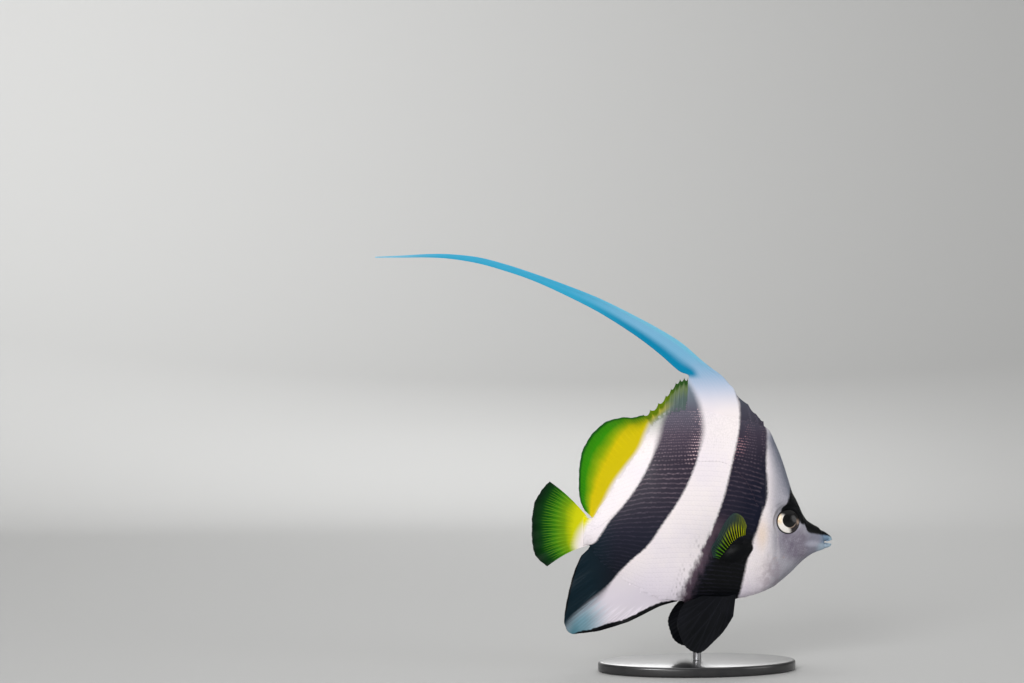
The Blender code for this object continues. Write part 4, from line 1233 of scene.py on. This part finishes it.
def paleGround(place, x, z, edgeX):
    # white flank, the head and snout greyed by painted shade, and the yellow of the tail stalk
    broad, mottle = noise(place, 28.0, 3.0), noise(place, 240.0, 3.0)
    # the front profile, from the chin over the snout to the back
    profile = [(height, at) for at, height in flesh["belly"][15:21] + flesh["back"][20:10:-1]]
    fromBack = curveOf(z, profile, (40.0, 170.0), (0.0, 100.0)) - x
    stalkGap = edgeX - edgeAt(z, "stalkEdge")
    return layers(
        "pearl",
        (ramp(broad, 0.35, 0.75, 0.0, 0.4), "lilac"),
        (ramp(z, 158.0, 190.0, 0.0, 0.75), "lilac"),
        (ramp(z, 80.0, 50.0, 0.0, 0.6), "lilac"),
        (ramp(z, 144.0, 164.0, 0.0, 0.9) * ramp(x, -10.0, -16.0), "haze"),
        # painted shade: the head greyer than the flank and darker along its front profile and over
        # the snout, as the light falls off towards the front
        (ramp(x, 37.0, 48.0), "headGrey"),
        (ramp(fromBack, 11.0, 0.0) * ramp(z, 155.0, 147.0) * ramp(z, 72.0, 96.0, 0.35, 0.9),
         "profile"),
        (spot(x, z, "gill") * 0.65, "cream"),
        (spot(x, z, "rust") * ramp(mottle, 0.5, 0.7, 0.0, 0.5), "rust"),
        (spot(x, z, "cheek") * ramp(mottle, 0.3, 0.7, 0.62, 1.0), "cheek"),
        (spot(x, z, "throat") * ramp(mottle, 0.35, 0.65, 0.15, 0.5), "throat"),
        (ramp(streaked(place, 0.15, 420.0), 0.5, 0.68) * spot(x, z, "streak") * 0.16, "pearl"),
        (ramp(x, 64.0, 70.0, 0.0, 0.8), "snoutGrey"),
        (spot(x, z, "jaw") * 0.7, "jaw"),
        (ramp(x, 73.0, 79.0, 0.0, 0.9), "lip"),
        # painted highlights: the light blue-white along the lower jaw and at the tips of the lips
        (ramp(z, 85.4, 83.4) * ramp(x, 71.0, 76.0) * 0.7, "chin"),
        (ramp(x, 79.5, 82.5, 0.0, 0.7), "lipTip"),
        (ramp(stalkGap, 2.5, -2.5) * ramp(z, 80.0, 84.0) * ramp(z, 107.0, 104.0), "lemon"))


def markingsGroup():
    tree = bpy.data.node_groups.new("Fish Markings", "ShaderNodeTree")
    tree.interface.new_socket("Place", in_out="INPUT", socket_type="NodeSocketVector")
    place = Flow(tree.nodes.new("NodeGroupInput").outputs["Place"])
    split = flow("ShaderNodeSeparateXYZ", {0: place}).socket.node.outputs
    x, z = Flow(split["X"]) * 1000.0, Flow(split["Z"]) * 1000.0 + underside
    wobble = (noise(place, 700.0) - 0.5) * markings["wobble"]
    edgeX = x + wobble
    one, two, dark, masks = darkBands(place, x, z, edgeX)
    bands = most(one, two)

    # black mask over the eye, black ridge of the snout and black base of the pectoral fin
    mask = ramp(edgeX - edgeAt(z, "maskEdge"), -0.8, 0.8) * ramp(z, 95.2, 97.2)
    over = wobble * 0.5 + z - curveOf(x, markings["snoutEdge"], (60.0, 85.0), (80.0, 110.0))
    ridge = ramp(over, -0.7, 0.7) * ramp(x, 63.6, 65.2) * ramp(x, 82.8, 81.8)
    black = most(most(mask, ridge), spot(x, z, "lobe"))
    colour = layers(paleGround(place, x, z, edgeX), (bands, dark), (black, "black"))
    given = {"Colour": colour, "Band": bands, "Black": black, "X": x, "Z": z, **masks}
    for label in given:
        kind = "NodeSocketColor" if label == "Colour" else "NodeSocketFloat"
        tree.interface.new_socket(label, in_out="OUTPUT", socket_type=kind)
    addNode(tree, "NodeGroupOutput", given)
    return tree


# Materials

class Surface:
    # a material whose colour and relief are built from flows
    def __init__(self, name, roughness, coat=0.0, coatRoughness=0.2, specular=0.09):
        self.material = bpy.data.materials.new(name)
        self.material.use_nodes = True
        self.tree = self.material.node_tree
        self.inputs = self.tree.nodes["Principled BSDF"].inputs
        for label, value in (("Roughness", roughness), ("Coat Weight", coat),
                             ("Coat Roughness", coatRoughness), ("Specular IOR Level", specular)):
            self.inputs[label].default_value = value

    def place(self):
        return Flow(self.tree.nodes.new("ShaderNodeTexCoord").outputs["Object"])

    def field(self, name, kind="Fac"):
        return Flow(addNode(self.tree, "ShaderNodeAttribute", attribute_name=name).outputs[kind])

    def marks(self, place):
        node = addNode(self.tree, "ShaderNodeGroup", node_tree=fishMarkings)
        self.tree.links.new(place.socket, node.inputs["Place"])
        return {name: Flow(socket) for name, socket in node.outputs.items()}

    def connect(self, label, value):
        self.tree.links.new(value.socket, self.inputs[label])

    def bump(self, height, distance, strength=0.4):
        self.connect("Normal", flow("ShaderNodeBump", {"Height": height, "Distance": distance,
                                                       "Strength": strength}))

    def paint(self, colour):
        self.connect("Base Color", colour)
        return self.material


def skinMaterial():
    surface = Surface("pearly skin", 0.45, 0.05, 0.3)
    place = surface.place()
    grain = noise(place, 900.0, 3.0)
    surface.bump(grain, 0.00006, 0.5)
    return surface.paint(blend(ramp(grain, 0.3, 0.7, 0.0, 0.1), surface.marks(place)["Colour"],
                               "black"))


def scaleMaterial():
    surface = Surface("pearly scale", 0.36, 0.04, 0.25, 0.13)
    place = surface.place()
    marks = surface.marks(flow("ShaderNodeMix", {0: scales["ownTone"], 4: place,
                                                 5: surface.field("rootPlace", "Vector")},
                               1, data_type="VECTOR"))
    along, across, tone = (surface.field(name) for name in ("along", "across", "tone"))
    side = calc("ABSOLUTE", across)
    # painted highlights in the dark bands: a light streak along each scale's middle, stronger
    # higher up, and rose and blush dots on its rear half
    wave = noise(place, 500.0) * 0.5 - 0.25
    middle = ramp(calc("ABSOLUTE", across + wave), 0.42, 0.06)
    dot = ramp(along, 0.5, 0.62) * ramp(along, 0.98, 0.86)
    length = most(1.0 - ramp(marks["Z"], 118.0, 140.0), dot)
    line = (middle * length * ramp(marks["Z"], 84.0, 150.0, 0.08, 0.36)
            * ramp(marks["X"], 6.0, 12.0, 1.0, 0.45) * ramp(tone, 0.0, 1.0, 0.55, 1.3))
    dark = layers(marks["Colour"],
                  (line, blend(ramp(marks["Z"], 80.0, 125.0), "lineLow", "line")),
                  (middle * dot * marks["RoseHighlight"], "rose"),
                  (middle * dot * marks["BlushHighlight"], "blush"))
    rim = most(ramp(side, 0.6, 1.0), ramp(along, 0.88, 1.0))
    freckle = (ramp(side, 1.0, 0.2) * ramp(along, 0.45, 0.7) * ramp(along, 1.0, 0.75)
               * marks["Freckle"] * ramp(tone, 0.2, 0.9, 0.1, 0.6))
    pale = layers(marks["Colour"], (rim * 0.1, "cheek"),
                  (ramp(tone, 0.0, 1.0, 0.0, 0.08), "lilac"), (freckle, "brown"))
    surface.bump(calc("SINE", across * 18.0), 0.00002)
    return surface.paint(layers(pale, (marks["Band"], dark), (marks["Black"], "black")))


def lineMaterial():
    surface = Surface("lateral line", 0.35, 0.04, 0.25, 0.13)
    marks = surface.marks(surface.place())
    return surface.paint(blend(marks["Band"], blend(0.16, marks["Colour"], "cheek"),
                               blend(0.04, marks["Colour"], "rose")))


def rayLight(surface, colour, amount=0.16):
    # rays a little lighter than the skin between them
    return blend(ramp(surface.field("ray"), 0.0, 0.8, amount, 0.0), colour, "black")


def addJoints(surface, count=46.0):
    # fine cross joints along the rays
    wave = calc("SINE", surface.field("reach") * (count * 2 * math.pi))
    surface.bump(wave * surface.field("ray"), 0.00004, 0.5)


def finSurface(name):
    surface = Surface(name, 0.45, 0.02, 0.3, 0.08)
    place = surface.place()
    reach = surface.field("reach") + (noise(place, 130.0) * 0.09 - 0.045)
    addJoints(surface)
    return surface, surface.marks(place), reach


def behindYellow(marks, soft):
    return ramp(edgeAt(marks["Z"], "yellowEdge") - marks["X"], -soft, soft)


def dorsalMaterial():
    surface, marks, reach = finSurface("yellow dorsal skin")
    across, margin = surface.field("across"), surface.field("margin")
    # painted light: the gold turns lime, leaf and forest green towards the edge, with olive near
    # the front, a forest margin and dashes, where the light falls off and the dark water shows
    # through
    tint = stops(reach - ramp(marks["X"], -56.0, -34.0, 0.0, 0.26),
                 [(0.0, "gold"), (0.46, "gold"), (0.62, "lime"), (0.8, "leaf"),
                  (0.93, "leaf"), (1.0, "forest")])
    tint = layers(tint, (ramp(across, 9.0, 1.0) * ramp(reach, 0.35, 0.85) * 0.8, "olive"),
                  (ramp(margin, 2.2, 0.0), "forest"))
    dashes = surface.field("ray") * ramp(margin, 7.0, 2.0) * 0.7
    colour = layers(marks["Colour"], (behindYellow(marks, 2.2), tint), (dashes, "forest"))
    return surface.paint(rayLight(surface, colour, 0.06))


def spineMaterial():
    surface, marks, reach = finSurface("spiny dorsal skin")
    z, margin = marks["Z"], surface.field("margin")
    # painted light: the teal-grey membrane near the top, the green by the edge and the green rim,
    # from the dark water through the thin fin and the light falling off
    green = ramp(margin, 12.0, 4.0) * ramp(z, 152.0, 160.0) * ramp(reach, 0.12, 0.5) * 0.7
    rim = blend(ramp(z, 170.0, 181.0), (96, 122, 0), (44, 82, 30))
    colour = layers(marks["Colour"],
                    (ramp(z, 158.0, 170.0, 0.0, 0.9), "membrane"), (green, (112, 130, 72)),
                    (behindYellow(marks, 4.0) * ramp(z, 171.0, 162.0) * 0.9, "gold"),
                    (ramp(noise(surface.place(), 300.0) * 3.0 + margin, 6.5, 3.6), rim))
    return surface.paint(rayLight(surface, colour, 0.1))


def frontMaterial():
    surface, marks, _ = finSurface("dark front spines")
    return surface.paint(rayLight(surface, marks["Colour"]))


def tailMaterial():
    surface, marks, reach = finSurface("yellow tail skin")
    rays = (ramp(surface.field("ray"), 0.2, 0.6) * ramp(reach, 0.4, 0.55)
            * ramp(reach, 0.85, 0.7) * 0.4)
    gap = marks["X"] - edgeAt(marks["Z"], "stalkEdge")
    # painted light: lemon at the root turning green and near black towards the outer edge, where
    # the light falls off and the dark water shows through
    colour = stops(reach, [(0.0, "lemon"), (0.24, (204, 206, 0)), (0.42, (116, 156, 2)),
                           (0.58, (58, 124, 4)), (0.72, (6, 80, 2)), (0.86, (2, 50, 8)),
                           (0.98, "deep")])
    colour = layers(colour, (rays, (120, 168, 30)), (ramp(gap, -5.0, 2.5), "pearl"))
    return surface.paint(rayLight(surface, colour, 0.1))


def analMaterial():
    surface, marks, _ = finSurface("anal fin skin")
    x, z = marks["X"], marks["Z"]
    bright = (ramp(edgeAt(z, "band2Front") - x, 7.0, -2.0) * ramp(x, -48.0, -60.0)
              * ramp(x, -46.0, -62.0))
    rays = ramp(surface.field("ray"), 0.15, 0.5) * bright * 0.4
    # painted water light: the fin's tip turns cyan to teal
    tip = (ramp(z, 58.0, 40.0) * ramp(x, -50.0, -70.0)
           * (1.0 - marks["Band"] * marks["Band"]))
    scallop = noise(surface.place(), 420.0) * 1.6 - 0.8
    under = z + scallop - curveOf(x, markings["analEdge"], (-80.0, -10.0), (25.0, 60.0))
    low = ramp(under, 0.4, -0.4) * ramp(x, -76.5, -73.0)
    edge = (ramp(scallop + surface.field("margin"), 2.0, 1.0)
            * ramp(surface.field("across"), 12.6, 13.6))
    colour = layers(marks["Colour"], (rays, "rayPale"),
                    (tip, blend(ramp(x, -69.0, -77.0), "cyan", (58, 110, 124))),
                    (most(low, edge), "black"))
    return surface.paint(rayLight(surface, colour))


def bannerMaterial():
    surface = Surface("banner skin", 0.42, 0.05, 0.3)
    marks, across = surface.marks(surface.place()), surface.field("across")
    x, z = marks["X"], marks["Z"]
    addJoints(surface, 120.0)
    # painted light: the pale blues, sky, turquoise and sea blue on the white banner are the blue
    # water light on the thin filament
    streak = ramp(calc("SINE", across * 75.0), -0.4, 1.0)
    return surface.paint(layers(
        marks["Colour"],
        (ramp(z, 162.0, 190.0) * (marks["Band"] * -0.85 + 1.0), (152, 178, 206)),
        (ramp(z, 182.0, 200.0), "sky"),
        (streak * ramp(z, 172.0, 192.0) * 0.12, "turquoise"),
        (ramp(across, 0.22, 0.1) * ramp(z, 186.0, 200.0) * 0.4, (110, 196, 214)),
        (ramp(across, 0.42, 0.8) * ramp(z, 183.0, 187.0), "seaBlue"),
        (ramp(x, -30.0, -85.0, 0.0, 0.9), "turquoise"),
        (ramp(x, -150.0, -195.0, 0.0, 0.6), (150, 196, 214))))


def pectoralMaterial():
    surface = Surface("pectoral fin skin", 0.42, 0.05, 0.3)
    reach, across, ray = (surface.field(name) for name in ("reach", "across", "ray"))
    # painted shade and light: the clear film is painted near black, the dark water seen through it,
    # greyer outward, and the yellow rays turn green and grey-green across and out over the fan as
    # the light falls off
    outer = ramp(reach, 0.5, 0.82) * ramp(across, 0.0, 5.0, 0.3, 1.0)
    rays = layers((206, 212, 6), (ramp(across, 4.0, 13.0), (92, 160, 30)),
                  (outer, (58, 86, 80)))
    front = ramp(across, 3.5, 0.5) * ramp(reach, 0.95, 0.5) * 0.7
    film = layers((6, 12, 12), (ramp(reach, 0.3, 0.8), (34, 54, 58)), (front, (96, 110, 6)))
    addJoints(surface)
    return surface.paint(layers(film, (ramp(ray, 0.12, 0.5), rays),
                                (ramp(reach, 0.18, 0.1), "black")))


def pelvicMaterial():
    surface = Surface("black pelvic skin", 0.5, 0.02, 0.35, 0.07)
    addJoints(surface)
    return surface.paint(layers(
        (6, 8, 11), (ramp(noise(surface.place(), 60.0), 0.3, 0.7), (15, 16, 21)),
        (surface.field("ray") * 0.5, (30, 31, 38))))


def eyeMaterial():
    surface = Surface("wet eye", 0.25, 0.35, 0.03, 0.2)
    x, z = surface.field("seenX"), surface.field("seenZ")
    pupil = eye["pupil"]
    toPupil = span(x, z, eye["pupilShift"], (1.0, 1.0))
    fibre = noise(flow("ShaderNodeCombineXYZ", {0: x, 1: z}), 1.3, 3.0)
    arc = (ramp(toPupil, pupil + 0.7, pupil + 0.3) * ramp(z, -0.5, -2.5)
           * ramp(x, -2.0, 1.0))
    return surface.paint(layers(
        (40, 33, 36), (ramp(z * 0.35 + x + fibre * 2.0, 1.2, -1.4), (238, 232, 226)),
        (ramp(x, -3.2, -5.6) * ramp(z, -2.6, 0.6), (232, 208, 176)),
        (ramp(x, 4.2, 5.4) * ramp(z, 4.8, 3.4) * ramp(z, -2.8, -0.6), (152, 132, 118)),
        (ramp(x * 0.35 + z, 1.4, 4.2), (9, 8, 9)), (arc, (150, 130, 116)),
        (ramp(toPupil, pupil + 0.14, pupil - 0.1), (5, 5, 7)),
        (ramp(span(x, z, (0.0, 0.0), (1.0, 1.0)), 6.5, 7.0), (10, 9, 10))))


def standMaterials():
    base = Surface("satin black lacquer", 0.3, 0.4, 0.12, 0.5)
    place = base.place()
    base.paint(blend(ramp(noise(place, 90.0, 4.0), 0.35, 0.7), (24, 24, 26), (38, 37, 38)))
    base.bump(noise(place, 2200.0), 0.00002)
    rod = Surface("brushed steel", 0.3, 0.0, 0.2, 0.5)
    rod.inputs["Metallic"].default_value = 1.0
    lines = streaked(rod.place(), 26.0, 260.0)
    rod.paint(blend(lines, (150, 150, 152), (205, 205, 208)))
    rod.connect("Roughness", ramp(lines, 0.2, 0.8, 0.24, 0.42))
    rod.bump(lines, 0.00002)
    return base.material, rod.material


def dress(piece, material):
    piece.data.materials.clear()
    piece.data.materials.append(material)


fishMarkings = markingsGroup()
coats = growScales(scaleMaterial())
print("bannerfish: scales,", sum(len(c.data.polygons) for c in coats), "faces")
dress(skin, skinMaterial())
makeLateralLine(lineMaterial())
for name, material in (("frontSpines", frontMaterial()), ("rearSpines", spineMaterial()),
                       ("softDorsal", dorsalMaterial()), ("anal", analMaterial()),
                       ("tail", tailMaterial()), ("banner", bannerMaterial())):
    dress(fins[name], material)
pectoralSkin, pelvicSkin, eyeSurface = pectoralMaterial(), pelvicMaterial(), eyeMaterial()
for label in ("right", "left"):
    dress(fins["pectoral" + label], pectoralSkin)
    dress(fins["pelvic" + label], pelvicSkin)
for ball in eyes:
    dress(ball, eyeSurface)


# Stand

stand = {
    "length": 120.0, "depth": 70.0, "height": 6.0, "edge": 1.5, "around": 192,
    "rod": 2.5, "rodTop": 54.0, "gap": 0.3,
}


def turnedRings(profile, around):
    turn = np.linspace(0, 2 * math.pi, around, endpoint=False)
    rings = [np.stack([r * np.cos(turn), r * np.sin(turn), z + 0 * turn], 1) for r, z in profile]
    return np.concatenate(rings), tubeFaces(len(profile), around)


def makeStand():
    bottom, top = underside, underside + stand["height"]
    half, edge = stand["length"] / 2, stand["edge"]
    arc = np.radians(np.arange(0, 91, 18))
    profile = [(half - edge + edge * math.sin(a), bottom + edge - edge * math.cos(a)) for a in arc]
    profile += [(half - edge + edge * math.cos(a), top - edge + edge * math.sin(a)) for a in arc]
    points, faces = turnedRings(profile, stand["around"])
    # the round plate is pressed to an oval with an even rim
    x, y = points[:, 0].copy(), points[:, 1].copy()
    reach = np.hypot(x, y)
    points[:, 1] = y / reach * (stand["depth"] / 2 - half + reach)
    base = meshPiece("stand_base_form", points, faces)
    base.data.set_sharp_from_angle(angle=math.radians(35))
    finishPiece(base, "stand_base", "stand_base")

    low = top + stand["gap"]
    rod = [(stand["rod"], low), (stand["rod"], stand["rodTop"])]
    points, faces = turnedRings(rod, 64)
    rod = meshPiece("stand_rod_form", points, faces)
    rod.data.set_sharp_from_angle(angle=math.radians(35))
    finishPiece(rod, "stand_rod", "stand_rod")
    return base, rod


standBase, standRod = makeStand()
lacquer, steel = standMaterials()
dress(standBase, lacquer)
dress(standRod, steel)
print("bannerfish: stand")


# Floor, light and camera

studio = {
    "camera": (-0.31181, -1.42110, 0.1971), "turn": -8.0, "lens": 85.0,
    "floor": (178, 178, 177), "world": 0.55,
    "flat": 1.3, "bend": 1.8, "wall": 2.2,
    "aim": (-0.03, 0.0, 0.1), "wallAim": (-0.45, 3.1, 1.15),
    "lights": [("key", (-1.0, -1.6, 0.85), 0.8, 13.7, 140.0),
               ("fill", (1.4, -1.0, 0.5), 0.9, 4.5, 180.0),
               ("low", (-0.5, -1.7, 0.32), 0.5, 0.45, 60.0),
               ("top", (0.0, 0.2, 1.5), 1.0, 6.0, 180.0),
               ("rear", (0.2, 1.6, 0.9), 1.0, 8.0, 180.0),
               ("wall", (-0.55, 1.5, 1.6), 1.6, 30.0, 180.0)],
}


def makeStage():
    # a round pale floor whose rim curves up into a low wall
    bend, flat = studio["bend"], studio["flat"]
    profile = [(0.01, 0.0), (flat * 0.5, 0.0), (flat, 0.0)]
    profile += [(flat + bend * math.sin(a), bend - bend * math.cos(a))
                for a in np.radians(np.arange(6, 91, 6))]
    profile.append((flat + bend, studio["wall"]))
    around = 128
    turn = np.linspace(0, 2 * math.pi, around, endpoint=False)
    points = [(r * math.cos(a), r * math.sin(a), z) for r, z in profile for a in turn]
    mesh = bpy.data.meshes.new("backdrop")
    faces = [tuple(reversed(face)) for face in tubeFaces(len(profile), around)[:-1]]
    mesh.from_pydata(points, [], faces)
    mesh.shade_smooth()
    backdrop = addObject("backdrop", mesh)
    paper = Surface("pale paper", 0.85, 0.0, 0.2, 0.2)
    paper.inputs["Base Color"].default_value = paintOf(studio["floor"])
    dress(backdrop, paper.material)


def makeLights():
    for name, place, size, power, spread in studio["lights"]:
        light = bpy.data.lights.new(name, "AREA")
        light.energy = power
        light.shape = "DISK"
        light.size = size
        light.spread = math.radians(spread)
        lamp = addObject(name, light)
        lamp.location = place
        lamp.visible_camera = False
        aim = Vector(studio["wallAim" if name == "wall" else "aim"]) - Vector(place)
        lamp.rotation_euler = aim.to_track_quat("-Z", "Y").to_euler()
    world = bpy.data.worlds.new("studio")
    world.use_nodes = True
    background = world.node_tree.nodes["Background"].inputs
    background["Color"].default_value = (1.0, 1.0, 1.0, 1.0)
    background["Strength"].default_value = studio["world"]
    bpy.context.scene.world = world


makeStage()
makeLights()
camera = addObject("camera", bpy.data.cameras.new("camera"))
camera.data.lens = studio["lens"]
camera.data.sensor_width = 36.0
camera.location = studio["camera"]
camera.rotation_euler = (math.radians(90), 0.0, math.radians(studio["turn"]))
bpy.context.scene.camera = camera
bpy.context.scene.view_settings.view_transform = "Standard"
print("bannerfish: stage and camera")

bpy.context.view_layer.update()
